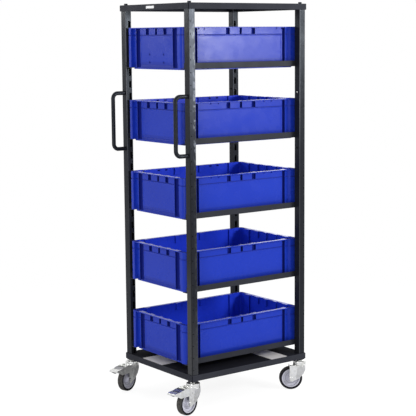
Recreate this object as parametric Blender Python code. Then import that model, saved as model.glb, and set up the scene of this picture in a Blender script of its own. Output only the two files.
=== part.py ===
"""Mobile bin cart: a tall steel rack on four swivel casters that carries five stacking bins.

Metres, +Z up. X runs along the cart, with the push handles at -X (the rear), and Y runs across it.
The origin is the centre of the whole object's bounding box, at floor height.
"""
import math

import bmesh
import bpy
from mathutils import Vector

# Gap kept between two pieces that touch
GAP = 0.0003
# How far a cutter runs past the face it cuts
OVERRUN = 0.002
# Faces that meet at less than this angle, in degrees, are shaded as one
SMOOTH_ANGLE = 35.0

# Bins
BIN_LENGTH = 0.600
BIN_WIDTH = 0.400
BIN_HEIGHT = 0.170
BIN_CORNER_RADIUS = 0.020
BIN_CORNER_STEPS = 4
BIN_COLUMN_LENGTH = 0.043
BIN_COLUMN_WIDTH = 0.0305
BIN_PANEL_RECESS = 0.0115
BIN_RIM_THICKNESS = 0.0035
BIN_RIM_STEP = 0.0005
BIN_WALL = 0.004
BIN_FLOOR = 0.003
BIN_BASE_WALL = 0.004
BIN_BASE_HEIGHT = 0.007
BIN_BASE_INSET = 0.020

# Levels
LEVELS = 5
LEVEL_PITCH = 0.300
GAP_UNDER_LOWEST_BIN = 0.029
GAP_OVER_HIGHEST_BIN = 0.094
BIN_SIDE_CLEARANCE = 0.010

# Posts: rectangular tubes with slots in the face next to the bins
POST_DEPTH = 0.030
POST_WIDTH = 0.0335
POST_WALL = 0.002
POST_END_PLATE = 0.005
POST_FOOT_BELOW_SHELF = 0.005
SLOT_WIDTH = 0.008
SLOT_LENGTH = 0.025
SLOT_FROM_WEB = 0.0185
SLOTS_PER_LEVEL = 6
SLOT_END_MARGIN = 0.012

# Shelves: folded trays with a hemmed edge that wraps round the posts
SHELF_HEIGHT = 0.025
SHELF_SHEET = 0.002
SHELF_HEM = 0.004

# Rails
RAIL_SHEET = 0.002
RAIL_HEIGHT = 0.024
RAIL_TIP_CLEARANCE = 0.002
RAIL_END_INSET = 0.0005
HOOK_TAB_HEIGHT = 0.008
HOOK_DROP = 0.008
HOOK_SIDE_CLEARANCE = 0.0005

# Handles
HANDLE_DIAMETER = 0.017
HANDLE_HEIGHT = 0.235
HANDLE_REACH = 0.057
HANDLE_BEND_RADIUS = 0.022
HANDLE_CENTRE_HEIGHT = 1.170
HANDLE_SIDES = 12
HANDLE_BEND_STEPS = 5

# Bolts
TOP_BOLT_RADIUS = 0.004
TOP_BOLT_HEAD_RADIUS = 0.0075
TOP_BOLT_HEAD_HEIGHT = 0.0065
TOP_BOLT_TAIL = 0.008
HANDLE_BOLT_RADIUS = 0.004
HANDLE_BOLT_HEAD_RADIUS = 0.0075
HANDLE_BOLT_HEAD_HEIGHT = 0.005
HANDLE_BOLT_BITE = 0.014
BOLT_CLEARANCE = 0.0004
HEX_SIDES = 6
BOLT_SIDES = 12

# Casters
WHEEL_DIAMETER = 0.100
WHEEL_SIDES = 20
WHEEL_TO_CROWN = 0.005
TYRE_WIDTH = 0.028
TYRE_DEPTH = 0.010
TYRE_SHOULDER = 0.004
HUB_RADIUS = 0.013
HUB_SIDE_CLEARANCE = 0.0005
WHEEL_RIM_DEPTH = 0.006
WHEEL_RIM_WIDTH = 0.024
WHEEL_DISC = 0.008
AXLE_RADIUS = 0.005
AXLE_CLEARANCE = 0.0005
AXLE_HEAD_RADIUS = 0.0075
AXLE_HEAD = 0.004
CASTER_TRAIL = 0.038
CROWN_SHEET = 0.004
CROWN_RADIUS = 0.0275
LEG_SHEET = 0.0025
LEG_SIDE_CLEARANCE = 0.003
LEG_BEHIND_AXLE = 0.007
LEG_BELOW_AXLE = 0.014
LEG_FRONT_OFFSET = 0.0235
# Front edge of a leg: shares of the front offset, and of the wheel's radius above the floor
LEG_FRONT_SHARES = ((-0.13, 1.0), (0.27, 1.2), (0.65, 1.4), (1.0, 1.75))
# Where that edge meets the crown, as a share of the crown's radius
LEG_TOP_SHARE = 0.9
RACE_RADIUS = 0.028
RACE_HEIGHT = 0.012
COLLAR_RADIUS = 0.012
COLLAR_HEIGHT = 0.0087
STEM_RADIUS = 0.005
STEM_LENGTH = 0.018
KINGPIN_RADIUS = 0.006
KINGPIN_HEAD_RADIUS = 0.010
KINGPIN_HEAD = 0.003
MOUNT_SIDES = 16

# Brake pedals, on the two casters below the handles: each runs back from the swivel axis by these
# distances, and its heights are counted from the top of the wheel
PEDAL_SHEET = 0.002
PEDAL_PIVOT_BACK = 0.026
PEDAL_PIVOT_BELOW = 0.008
PEDAL_PIN_RADIUS = 0.003
PEDAL_PIN_CLEARANCE = 0.0005
PEDAL_RACE_CLEARANCE = 0.0021
# Size of a cheek round its pin, and height of its front edge's foot, as shares of the pin and of that size
PEDAL_BOSS_SHARE = 3.0
PEDAL_NOSE_FOOT_SHARE = 1.4
PEDAL_NOSE_ABOVE = 0.0165
PEDAL_SHOULDER_BACK = 0.064
PEDAL_TREAD_BACK = 0.081
PEDAL_TREAD_ABOVE = 0.015
PEDAL_KNEE_BACK = 0.097
PEDAL_KNEE_ABOVE = 0.011
PEDAL_TIP_BACK = 0.130
PEDAL_TIP_ABOVE = 0.0085
PEDAL_TIP_LIP = 0.008
PEDAL_CHEEK_BELOW = 0.0165
PEDAL_CHEEK_LOW_BACK = 0.095

# Blank plates
NAME_PLATE_LENGTH = 0.057
NAME_PLATE_HEIGHT = 0.010
NAME_PLATE_OFFSET = 0.018
PLATE_THICKNESS = 0.0006
FLOOR_LABEL_LENGTH = 0.145
FLOOR_LABEL_WIDTH = 0.087
FLOOR_LABEL_EDGE_GAP = 0.002
REAR_LABEL_CENTRE_Y = 0.043
RIGHT_LABEL_CENTRE_X = 0.157

# Directions in which the casters have come to rest, in degrees about Z
SWIVEL_REST = {"rear_left": 19.0, "rear_right": 11.5, "front_left": -10.0, "front_right": -33.0}

# Places that follow from the sizes
WHEEL_RADIUS = WHEEL_DIAMETER / 2
CROWN_BOTTOM = WHEEL_DIAMETER + WHEEL_TO_CROWN
CROWN_TOP = CROWN_BOTTOM + CROWN_SHEET
RACE_BOTTOM = CROWN_TOP + GAP
RACE_TOP = RACE_BOTTOM + RACE_HEIGHT
POST_FOOT = RACE_TOP + COLLAR_HEIGHT + GAP
SHELF_BOTTOM = POST_FOOT + POST_FOOT_BELOW_SHELF
SHELF_TOP = SHELF_BOTTOM + SHELF_HEIGHT
LOWEST_BIN = SHELF_TOP + GAP_UNDER_LOWEST_BIN
HIGHEST_RIM = LOWEST_BIN + (LEVELS - 1) * LEVEL_PITCH + BIN_HEIGHT
TOP_SHELF_TOP = HIGHEST_RIM + GAP_OVER_HIGHEST_BIN
POST_HEAD = TOP_SHELF_TOP - SHELF_SHEET - GAP
POST_OUT_X = BIN_LENGTH / 2
POST_IN_X = POST_OUT_X - POST_DEPTH
POST_IN_Y = BIN_WIDTH / 2 + BIN_SIDE_CLEARANCE
POST_OUT_Y = POST_IN_Y + POST_WIDTH
POST_MID_X = (POST_IN_X + POST_OUT_X) / 2
POST_MID_Y = (POST_IN_Y + POST_OUT_Y) / 2
SHELF_IN_X = POST_OUT_X + GAP
SHELF_IN_Y = POST_OUT_Y + GAP
SHELF_OUT_X = SHELF_IN_X + SHELF_HEM
SHELF_OUT_Y = SHELF_IN_Y + SHELF_HEM
SLOT_X = POST_OUT_X - SLOT_FROM_WEB
SLOT_PITCH = LEVEL_PITCH / SLOTS_PER_LEVEL
LEG_INNER = TYRE_WIDTH / 2 + LEG_SIDE_CLEARANCE
LEG_OUTER = LEG_INNER + LEG_SHEET
PEDAL_INNER = LEG_OUTER + AXLE_CLEARANCE
PEDAL_OUTER = PEDAL_INNER + PEDAL_SHEET
PEDAL_NOSE_BACK = math.sqrt((max(RACE_RADIUS, CROWN_RADIUS) + PEDAL_RACE_CLEARANCE) ** 2 - PEDAL_INNER ** 2)
PEDAL_PIVOT_HEIGHT = WHEEL_DIAMETER - PEDAL_PIVOT_BELOW
CORNERS = {"rear_left": (-1, 1), "rear_right": (-1, -1), "front_left": (1, 1), "front_right": (1, -1)}
BRAKED = ("rear_left", "rear_right")

ANTHRACITE = ((0.050, 0.054, 0.060), 0.45, 0.0)
BLUE = ((0.030, 0.050, 0.500), 0.40, 0.0)
ZINC = ((0.620, 0.630, 0.620), 0.35, 1.0)
GREY_NYLON = ((0.550, 0.550, 0.620), 0.50, 0.0)
RUBBER = ((0.090, 0.090, 0.095), 0.80, 0.0)
PALE_LABEL = ((0.420, 0.400, 0.420), 0.60, 0.0)
WHITE_LABEL = ((0.800, 0.800, 0.800), 0.50, 0.0)


def bin_underside(level):
    """Height of a bin's base, level 1 being the top one."""
    return LOWEST_BIN + (LEVELS - level) * LEVEL_PITCH


def ledge_height(level):
    """Height of the ledge by which a bin hangs on its rails."""
    return bin_underside(level) + BIN_BASE_HEIGHT


def rail_top(level):
    """Height of the upper edge of a rail's web."""
    return ledge_height(level) - GAP - RAIL_SHEET + RAIL_HEIGHT


def slot_bottom(level):
    """Height of the lower edge of the slots that hold one level's rails."""
    return rail_top(level) - HOOK_TAB_HEIGHT - GAP


def material_for(name, finish):
    """A Principled material of one colour, roughness and metallic value."""
    colour, roughness, metallic = finish
    material = bpy.data.materials.new(name)
    material.use_nodes = True
    shader = material.node_tree.nodes["Principled BSDF"]
    shader.inputs["Base Color"].default_value = (*colour, 1.0)
    shader.inputs["Roughness"].default_value = roughness
    shader.inputs["Metallic"].default_value = metallic
    material.diffuse_color = (*colour, 1.0)
    return material


def add_object(name, bm, parent, finish, place=(0.0, 0.0, 0.0), turn=(0.0, 0.0, 0.0), smooth=False):
    """Turn a bmesh into a named object with its own material."""
    bmesh.ops.recalc_face_normals(bm, faces=bm.faces)
    mesh = bpy.data.meshes.new(name)
    bm.to_mesh(mesh)
    bm.free()
    if smooth:
        mesh.shade_smooth()
        mesh.set_sharp_from_angle(angle=math.radians(SMOOTH_ANGLE))
    mesh.materials.append(material_for(name, finish))
    obj = bpy.data.objects.new(name, mesh)
    bpy.context.scene.collection.objects.link(obj)
    obj.location = place
    obj.rotation_euler = turn
    obj.parent = parent
    return obj


def add_empty(name, parent, place=(0.0, 0.0, 0.0), turn=(0.0, 0.0, 0.0)):
    """An axis or a frame that other pieces hang on."""
    empty = bpy.data.objects.new(name, None)
    bpy.context.scene.collection.objects.link(empty)
    empty.location = place
    empty.rotation_euler = turn
    empty.parent = parent
    return empty


def box_mesh(low, high, bm=None):
    """A box between two opposite corners, added to bm."""
    bm = bm or bmesh.new()
    x0, x1 = sorted((low[0], high[0]))
    y0, y1 = sorted((low[1], high[1]))
    z0, z1 = sorted((low[2], high[2]))
    made = bmesh.ops.create_cube(bm, size=1.0)
    middle = Vector(((x0 + x1) / 2, (y0 + y1) / 2, (z0 + z1) / 2))
    bmesh.ops.scale(bm, vec=(x1 - x0, y1 - y0, z1 - z0), verts=made["verts"])
    bmesh.ops.translate(bm, vec=middle, verts=made["verts"])
    return bm


def ring_mesh(rings, closed=False):
    """Skin a list of rings that have equal counts, capping both ends or joining them."""
    bm = bmesh.new()
    loops = [[bm.verts.new(point) for point in ring] for ring in rings]
    count = len(rings[0])
    pairs = list(zip(loops, loops[1:] + (loops[:1] if closed else [])))
    for lower, upper in pairs:
        for k in range(count):
            j = (k + 1) % count
            bm.faces.new((lower[k], lower[j], upper[j], upper[k]))
    if not closed:
        bm.faces.new(list(reversed(loops[0])))
        bm.faces.new(loops[-1])
    return bm


def turned_mesh(profile, sides, closed=False):
    """Turn a profile of (radius, height) about Z, with a flat facet towards +Y and -Y."""
    rings = []
    for radius, height in profile:
        ring = []
        for k in range(sides):
            angle = (k + 0.5) * math.tau / sides
            ring.append((radius * math.cos(angle), radius * math.sin(angle), height))
        rings.append(ring)
    return ring_mesh(rings, closed)


def prism_mesh(outline, low, high):
    """Extrude an outline of (x, z) points along Y."""
    return ring_mesh([[(x, y, z) for x, z in outline] for y in (low, high)])


def add_tool(name, bm, parent, place=(0.0, 0.0, 0.0), turn=(0.0, 0.0, 0.0)):
    """A hidden shape that a Boolean uses."""
    tool = add_object(name, bm, parent, ZINC, place, turn)
    tool.hide_render = True
    tool.display_type = "WIRE"
    return tool


def combine(obj, tool, operation):
    """Cut a tool out of an object, or join it on."""
    modifier = obj.modifiers.new(tool.name, "BOOLEAN")
    modifier.operation = operation
    modifier.object = tool
    modifier.solver = "EXACT"


def make_shelf(name, cart, top, posts_pass):
    """A tray open below; the posts pass through its corners, or end under its sheet."""
    low = (-SHELF_OUT_X, -SHELF_OUT_Y, top - SHELF_HEIGHT)
    shelf = add_object(name, box_mesh(low, (SHELF_OUT_X, SHELF_OUT_Y, top)), cart, ANTHRACITE)
    hollow_low = (-SHELF_IN_X, -SHELF_IN_Y, top - SHELF_HEIGHT - OVERRUN)
    hollow = box_mesh(hollow_low, (SHELF_IN_X, SHELF_IN_Y, top - SHELF_SHEET))
    combine(shelf, add_tool(name + "_hollow", hollow, cart), "DIFFERENCE")
    for corner, (sx, sy) in CORNERS.items():
        if posts_pass:
            notch = box_mesh((sx * (POST_IN_X - GAP), sy * (POST_IN_Y - GAP), top - SHELF_HEIGHT),
                             (sx * SHELF_IN_X, sy * SHELF_IN_Y, top + OVERRUN))
            combine(shelf, add_tool(f"{name}_notch_{corner}", notch, cart), "DIFFERENCE")
        else:
            radius = TOP_BOLT_RADIUS + BOLT_CLEARANCE
            hole = turned_mesh([(radius, top - SHELF_HEIGHT), (radius, top + OVERRUN)], BOLT_SIDES)
            tool = add_tool(f"{name}_hole_{corner}", hole, cart, (sx * POST_MID_X, sy * POST_MID_Y, 0.0))
            combine(shelf, tool, "DIFFERENCE")
    return shelf


def slot_heights():
    """Lower edges of all the slots that fit on a post."""
    anchor = slot_bottom(LEVELS)
    first = math.ceil((POST_FOOT + POST_END_PLATE + SLOT_END_MARGIN - anchor) / SLOT_PITCH)
    last = math.floor((POST_HEAD - POST_END_PLATE - SLOT_END_MARGIN - SLOT_LENGTH - anchor) / SLOT_PITCH)
    return [anchor + k * SLOT_PITCH for k in range(first, last + 1)]


def make_post(corner, cart):
    """A slotted rectangular tube, drilled across for a handle, with a plate welded in each end."""
    sx, sy = CORNERS[corner]
    name = "post_" + corner
    post = add_object(name, box_mesh((sx * POST_IN_X, sy * POST_IN_Y, POST_FOOT),
                                     (sx * POST_OUT_X, sy * POST_OUT_Y, POST_HEAD)), cart, ANTHRACITE)
    inside_low = POST_FOOT + POST_END_PLATE
    inside_high = POST_HEAD - POST_END_PLATE
    inside = box_mesh((sx * (POST_IN_X + POST_WALL), sy * (POST_IN_Y + POST_WALL), inside_low),
                      (sx * (POST_OUT_X - POST_WALL), sy * (POST_OUT_Y - POST_WALL), inside_high))
    combine(post, add_tool(name + "_inside", inside, cart), "DIFFERENCE")
    slots = bmesh.new()
    slot_near = (sx * (SLOT_X - SLOT_WIDTH / 2), sy * (POST_IN_Y - OVERRUN))
    slot_far = (sx * (SLOT_X + SLOT_WIDTH / 2), sy * (POST_IN_Y + POST_WALL + OVERRUN))
    for low in slot_heights():
        box_mesh((*slot_near, low), (*slot_far, low + SLOT_LENGTH), slots)
    combine(post, add_tool(name + "_slots", slots, cart), "DIFFERENCE")
    stem_hole = STEM_RADIUS + BOLT_CLEARANCE
    foot = turned_mesh([(stem_hole, POST_FOOT - OVERRUN), (stem_hole, inside_low + OVERRUN)], BOLT_SIDES)
    place = (sx * POST_MID_X, sy * POST_MID_Y, 0.0)
    combine(post, add_tool(name + "_foot_hole", foot, cart, place), "DIFFERENCE")
    bolt_hole = TOP_BOLT_RADIUS + BOLT_CLEARANCE
    head = turned_mesh([(bolt_hole, inside_high - OVERRUN), (bolt_hole, POST_HEAD + OVERRUN)], BOLT_SIDES)
    combine(post, add_tool(name + "_head_hole", head, cart, place), "DIFFERENCE")
    for end, height in handle_ends().items():
        radius = HANDLE_BOLT_RADIUS + BOLT_CLEARANCE
        hole = turned_mesh([(radius, -OVERRUN), (radius, POST_DEPTH + OVERRUN)], BOLT_SIDES)
        place = (min(sx * POST_IN_X, sx * POST_OUT_X), sy * POST_MID_Y, height)
        combine(post, add_tool(f"{name}_{end}_hole", hole, cart, place, (0.0, math.pi / 2, 0.0)), "DIFFERENCE")
    return post


def make_top_bolt(corner, cart):
    """A hexagon bolt that holds the top shelf down on a post's end plate."""
    sx, sy = CORNERS[corner]
    seat = TOP_SHELF_TOP + GAP
    tail = POST_HEAD - POST_END_PLATE - TOP_BOLT_TAIL
    profile = [(TOP_BOLT_RADIUS, tail), (TOP_BOLT_RADIUS, seat), (TOP_BOLT_HEAD_RADIUS, seat),
               (TOP_BOLT_HEAD_RADIUS, seat + TOP_BOLT_HEAD_HEIGHT)]
    return add_object("top_bolt_" + corner, turned_mesh(profile, HEX_SIDES), cart, ANTHRACITE,
                      (sx * POST_MID_X, sy * POST_MID_Y, 0.0))


def make_rail(level, side, cart):
    """An L-shaped rail, hooked into the slots of two posts, with its foot under the bin's ledge."""
    sy = 1 if side == "left" else -1
    name = f"rail_{level}_{side}"
    half = POST_OUT_X - RAIL_END_INSET
    back = sy * (POST_IN_Y - GAP)
    face = sy * (POST_IN_Y - GAP - RAIL_SHEET)
    tip = sy * (BIN_WIDTH / 2 - BIN_BASE_INSET + RAIL_TIP_CLEARANCE)
    top = rail_top(level)
    foot = top - RAIL_HEIGHT
    outline = [(back, foot), (tip, foot), (tip, foot + RAIL_SHEET), (face, foot + RAIL_SHEET), (face, top),
               (back, top)]
    bm = ring_mesh([[(x, y, z) for y, z in outline] for x in (-half, half)])
    rail = add_object(name, bm, cart, ANTHRACITE)
    reach = sy * (POST_IN_Y + POST_WALL + GAP)
    behind = reach + sy * RAIL_SHEET
    tab_low = top - HOOK_TAB_HEIGHT
    inner = sy * (POST_IN_Y - GAP - RAIL_SHEET / 2)
    for end, sx in (("rear", -1), ("front", 1)):
        x0 = sx * SLOT_X - (SLOT_WIDTH / 2 - HOOK_SIDE_CLEARANCE)
        x1 = sx * SLOT_X + (SLOT_WIDTH / 2 - HOOK_SIDE_CLEARANCE)
        hook_outline = [(inner, tab_low), (reach, tab_low), (reach, tab_low - HOOK_DROP),
                        (behind, tab_low - HOOK_DROP), (behind, top), (inner, top)]
        hook = ring_mesh([[(x, y, z) for y, z in hook_outline] for x in (x0, x1)])
        combine(rail, add_tool(f"{name}_hook_{end}", hook, cart), "UNION")
    return rail


def handle_ends():
    """Heights of the two arms of a handle."""
    half = HANDLE_HEIGHT / 2
    return {"lower": HANDLE_CENTRE_HEIGHT - half, "upper": HANDLE_CENTRE_HEIGHT + half}


def handle_path():
    """Points (x, z) along a handle's centre line, with the direction at each."""
    heights = handle_ends()
    start = -POST_OUT_X - GAP
    bar = -POST_OUT_X - HANDLE_REACH
    bend = bar + HANDLE_BEND_RADIUS
    path = [(start, heights["lower"], math.pi)]
    for step in range(HANDLE_BEND_STEPS + 1):
        turn = math.pi / 2 * step / HANDLE_BEND_STEPS
        x = bend - HANDLE_BEND_RADIUS * math.sin(turn)
        z = heights["lower"] + HANDLE_BEND_RADIUS * (1 - math.cos(turn))
        path.append((x, z, math.pi - turn))
    for x, z, angle in reversed(path[1:]):
        path.append((x, 2 * HANDLE_CENTRE_HEIGHT - z, math.pi - angle))
    path.append((start, heights["upper"], 0.0))
    return path


def make_handle(side, cart):
    """A U-shaped round bar whose two arms butt on the post's rear face."""
    sy = 1 if side == "left" else -1
    rings = []
    for x, z, angle in handle_path():
        across = (-math.sin(angle), math.cos(angle))
        ring = []
        for k in range(HANDLE_SIDES):
            turn = math.tau * k / HANDLE_SIDES
            out = HANDLE_DIAMETER / 2 * math.cos(turn)
            ring.append((x + across[0] * out, HANDLE_DIAMETER / 2 * math.sin(turn), z + across[1] * out))
        rings.append(ring)
    name = "handle_" + side
    place = (0.0, sy * POST_MID_Y, 0.0)
    handle = add_object(name, ring_mesh(rings), cart, ANTHRACITE, place, smooth=True)
    for end, height in handle_ends().items():
        radius = HANDLE_BOLT_RADIUS + BOLT_CLEARANCE
        hole = turned_mesh([(radius, -OVERRUN), (radius, HANDLE_BOLT_BITE + OVERRUN)], BOLT_SIDES)
        tool = add_tool(f"{name}_{end}_thread", hole, cart, (-POST_OUT_X, sy * POST_MID_Y, height),
                        (0.0, -math.pi / 2, 0.0))
        combine(handle, tool, "DIFFERENCE")
    return handle


def make_handle_bolt(side, end, cart):
    """A bolt across the post, from its inner face into the end of a handle's arm."""
    sy = 1 if side == "left" else -1
    seat = -POST_DEPTH - GAP
    profile = [(HANDLE_BOLT_HEAD_RADIUS, seat - HANDLE_BOLT_HEAD_HEIGHT), (HANDLE_BOLT_HEAD_RADIUS, seat),
               (HANDLE_BOLT_RADIUS, seat), (HANDLE_BOLT_RADIUS, HANDLE_BOLT_BITE)]
    place = (-POST_OUT_X, sy * POST_MID_Y, handle_ends()[end])
    return add_object(f"handle_bolt_{side}_{end}", turned_mesh(profile, BOLT_SIDES), cart, ZINC, place,
                      (0.0, -math.pi / 2, 0.0))


def bin_ring(inset, height, recess=BIN_RIM_STEP):
    """One ring of a bin: a rounded rectangle whose sides stand back by a recess between the corners."""
    half_x = BIN_LENGTH / 2 - inset
    half_y = BIN_WIDTH / 2 - inset
    radius = max(BIN_CORNER_RADIUS - inset, BIN_CORNER_RADIUS / 4)
    length = BIN_COLUMN_LENGTH - inset
    width = BIN_COLUMN_WIDTH - inset
    points = []
    for quarter in range(4):
        along_x = quarter % 2 == 0
        sx = 1 if quarter in (0, 3) else -1
        sy = 1 if quarter < 2 else -1
        for step in range(BIN_CORNER_STEPS + 1):
            angle = math.pi / 2 * (quarter + step / BIN_CORNER_STEPS)
            points.append((sx * (half_x - radius) + radius * math.cos(angle),
                           sy * (half_y - radius) + radius * math.sin(angle), height))
        if along_x:
            for x, y in ((half_x - length, half_y), (half_x - length, half_y - recess)):
                points.append((sx * x, sy * y, height))
            for x, y in ((half_x - length, half_y - recess), (half_x - length, half_y)):
                points.append((-sx * x, sy * y, height))
        else:
            for x, y in ((half_x, half_y - width), (half_x - recess, half_y - width)):
                points.append((sx * x, sy * y, height))
            for x, y in ((half_x - recess, half_y - width), (half_x, half_y - width)):
                points.append((sx * x, -sy * y, height))
    return points


def make_bin(level, cart):
    """A stacking bin: a stepped base, corner columns, sides that stand back and a flanged rim."""
    under_rim = BIN_HEIGHT - BIN_RIM_THICKNESS
    inside = BIN_PANEL_RECESS + BIN_WALL
    well = BIN_BASE_INSET + BIN_BASE_WALL
    shoulder = BIN_BASE_HEIGHT + BIN_FLOOR
    rings = [
        bin_ring(BIN_BASE_INSET, 0.0),
        bin_ring(BIN_BASE_INSET, BIN_BASE_HEIGHT),
        bin_ring(0.0, BIN_BASE_HEIGHT, BIN_PANEL_RECESS),
        bin_ring(0.0, under_rim, BIN_PANEL_RECESS),
        bin_ring(0.0, under_rim),
        bin_ring(0.0, BIN_HEIGHT),
        bin_ring(inside, BIN_HEIGHT),
        bin_ring(inside, shoulder),
        bin_ring(well, shoulder),
        bin_ring(well, BIN_FLOOR),
    ]
    return add_object(f"bin_{level}", ring_mesh(rings), cart, BLUE, (0.0, 0.0, bin_underside(level)))


def make_caster_mount(corner, cart):
    """The fixed upper half of a caster: threaded stem, collar, ball race and kingpin."""
    sx, sy = CORNERS[corner]
    shoulder = RACE_HEIGHT / 4
    profile = [
        (KINGPIN_HEAD_RADIUS, CROWN_BOTTOM - GAP - KINGPIN_HEAD),
        (KINGPIN_HEAD_RADIUS, CROWN_BOTTOM - GAP),
        (KINGPIN_RADIUS, CROWN_BOTTOM - GAP),
        (KINGPIN_RADIUS, RACE_BOTTOM),
        (RACE_RADIUS, RACE_BOTTOM),
        (RACE_RADIUS, RACE_TOP - shoulder),
        (RACE_RADIUS - shoulder, RACE_TOP),
        (COLLAR_RADIUS, RACE_TOP),
        (COLLAR_RADIUS, RACE_TOP + COLLAR_HEIGHT),
        (STEM_RADIUS, RACE_TOP + COLLAR_HEIGHT),
        (STEM_RADIUS, RACE_TOP + COLLAR_HEIGHT + STEM_LENGTH),
    ]
    return add_object("caster_mount_" + corner, turned_mesh(profile, MOUNT_SIDES), cart, ZINC,
                      (sx * POST_MID_X, sy * POST_MID_Y, 0.0), smooth=True)


def leg_outline():
    """Outline (x, z) of a fork leg; the wheel trails towards -x."""
    axle_x = -CASTER_TRAIL
    back = axle_x - LEG_BEHIND_AXLE
    below = WHEEL_RADIUS - LEG_BELOW_AXLE
    outline = [
        (CROWN_RADIUS * LEG_TOP_SHARE, CROWN_BOTTOM + CROWN_SHEET / 2),
        (back, CROWN_BOTTOM + CROWN_SHEET / 2),
        (back, WHEEL_RADIUS - LEG_BELOW_AXLE / 3),
        (axle_x - LEG_BEHIND_AXLE / 2, below),
        (axle_x + LEG_BEHIND_AXLE, below),
    ]
    return outline + [(LEG_FRONT_OFFSET * ahead, WHEEL_RADIUS * up) for ahead, up in LEG_FRONT_SHARES]


def make_fork(corner, swivel):
    """The turning half of a caster: a round crown on the kingpin and two legs that hold the axle."""
    name = "caster_fork_" + corner
    bore = KINGPIN_RADIUS + AXLE_CLEARANCE
    crown = [(bore, CROWN_BOTTOM), (CROWN_RADIUS, CROWN_BOTTOM), (CROWN_RADIUS, CROWN_TOP), (bore, CROWN_TOP)]
    fork = add_object(name, turned_mesh(crown, MOUNT_SIDES, closed=True), swivel, ZINC, smooth=True)
    behind = CASTER_TRAIL + LEG_BEHIND_AXLE
    bridge = box_mesh((-behind, -LEG_OUTER, CROWN_BOTTOM), (-bore - OVERRUN, LEG_OUTER, CROWN_TOP))
    combine(fork, add_tool(name + "_bridge", bridge, swivel), "UNION")
    for side, sy in (("left", 1), ("right", -1)):
        leg = prism_mesh(leg_outline(), sy * LEG_INNER, sy * LEG_OUTER)
        combine(fork, add_tool(f"{name}_leg_{side}", leg, swivel), "UNION")
    radius = AXLE_RADIUS + BOLT_CLEARANCE
    hole = turned_mesh([(radius, -LEG_OUTER - OVERRUN), (radius, LEG_OUTER + OVERRUN)], BOLT_SIDES)
    tool = add_tool(name + "_axle_hole", hole, swivel, (-CASTER_TRAIL, 0.0, WHEEL_RADIUS),
                    (math.pi / 2, 0.0, 0.0))
    combine(fork, tool, "DIFFERENCE")
    if corner in BRAKED:
        for side, sy in (("left", 1), ("right", -1)):
            low, high = sorted((sy * (LEG_INNER + LEG_SHEET / 2), sy * (PEDAL_OUTER + LEG_SHEET / 2)))
            pin = turned_mesh([(PEDAL_PIN_RADIUS, low), (PEDAL_PIN_RADIUS, high)], BOLT_SIDES)
            tool = add_tool(f"{name}_pin_{side}", pin, swivel, (-PEDAL_PIVOT_BACK, 0.0, PEDAL_PIVOT_HEIGHT),
                            (-math.pi / 2, 0.0, 0.0))
            combine(fork, tool, "UNION")
    return fork


def make_axle(corner, swivel):
    """The axle bolt, with its head on one leg and its nut on the other."""
    inside = LEG_OUTER + GAP
    outside = inside + AXLE_HEAD
    profile = [(AXLE_HEAD_RADIUS, -outside), (AXLE_HEAD_RADIUS, -inside), (AXLE_RADIUS, -inside),
               (AXLE_RADIUS, inside), (AXLE_HEAD_RADIUS, inside), (AXLE_HEAD_RADIUS, outside)]
    return add_object("caster_axle_" + corner, turned_mesh(profile, BOLT_SIDES), swivel, ZINC,
                      (-CASTER_TRAIL, 0.0, WHEEL_RADIUS), (math.pi / 2, 0.0, 0.0))


def make_wheel(corner, swivel):
    """The wheel's core and its tyre, on an empty at the axle."""
    hub = add_empty("wheel_axis_" + corner, swivel, (-CASTER_TRAIL, 0.0, WHEEL_RADIUS),
                    (math.pi / 2, 0.0, 0.0))
    flat = math.cos(math.pi / WHEEL_SIDES)
    bore = AXLE_RADIUS + AXLE_CLEARANCE
    bed = WHEEL_RADIUS - TYRE_DEPTH
    rim_inside = bed - WHEEL_RIM_DEPTH
    hub_half = LEG_INNER - HUB_SIDE_CLEARANCE
    rim_half = WHEEL_RIM_WIDTH / 2
    disc_half = WHEEL_DISC / 2
    core = [(bore, -hub_half), (HUB_RADIUS, -hub_half), (HUB_RADIUS, -disc_half), (rim_inside, -disc_half),
            (rim_inside, -rim_half), (bed, -rim_half), (bed, rim_half), (rim_inside, rim_half),
            (rim_inside, disc_half), (HUB_RADIUS, disc_half), (HUB_RADIUS, hub_half), (bore, hub_half)]
    core = [(radius / flat, height) for radius, height in core]
    add_object("wheel_core_" + corner, turned_mesh(core, WHEEL_SIDES, closed=True), hub, GREY_NYLON,
               smooth=True)
    half = TYRE_WIDTH / 2
    inner = bed + GAP
    tyre = [(inner, -half), (WHEEL_RADIUS - TYRE_SHOULDER, -half), (WHEEL_RADIUS, -half + TYRE_SHOULDER),
            (WHEEL_RADIUS, half - TYRE_SHOULDER), (WHEEL_RADIUS - TYRE_SHOULDER, half), (inner, half)]
    tyre = [(radius / flat, height) for radius, height in tyre]
    add_object("tyre_" + corner, turned_mesh(tyre, WHEEL_SIDES, closed=True), hub, RUBBER, smooth=True)


def pedal_point(back, above):
    """A point (x, z) of the pedal, seen from its pivot."""
    return (PEDAL_PIVOT_BACK - back, WHEEL_DIAMETER + above - PEDAL_PIVOT_HEIGHT)


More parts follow.
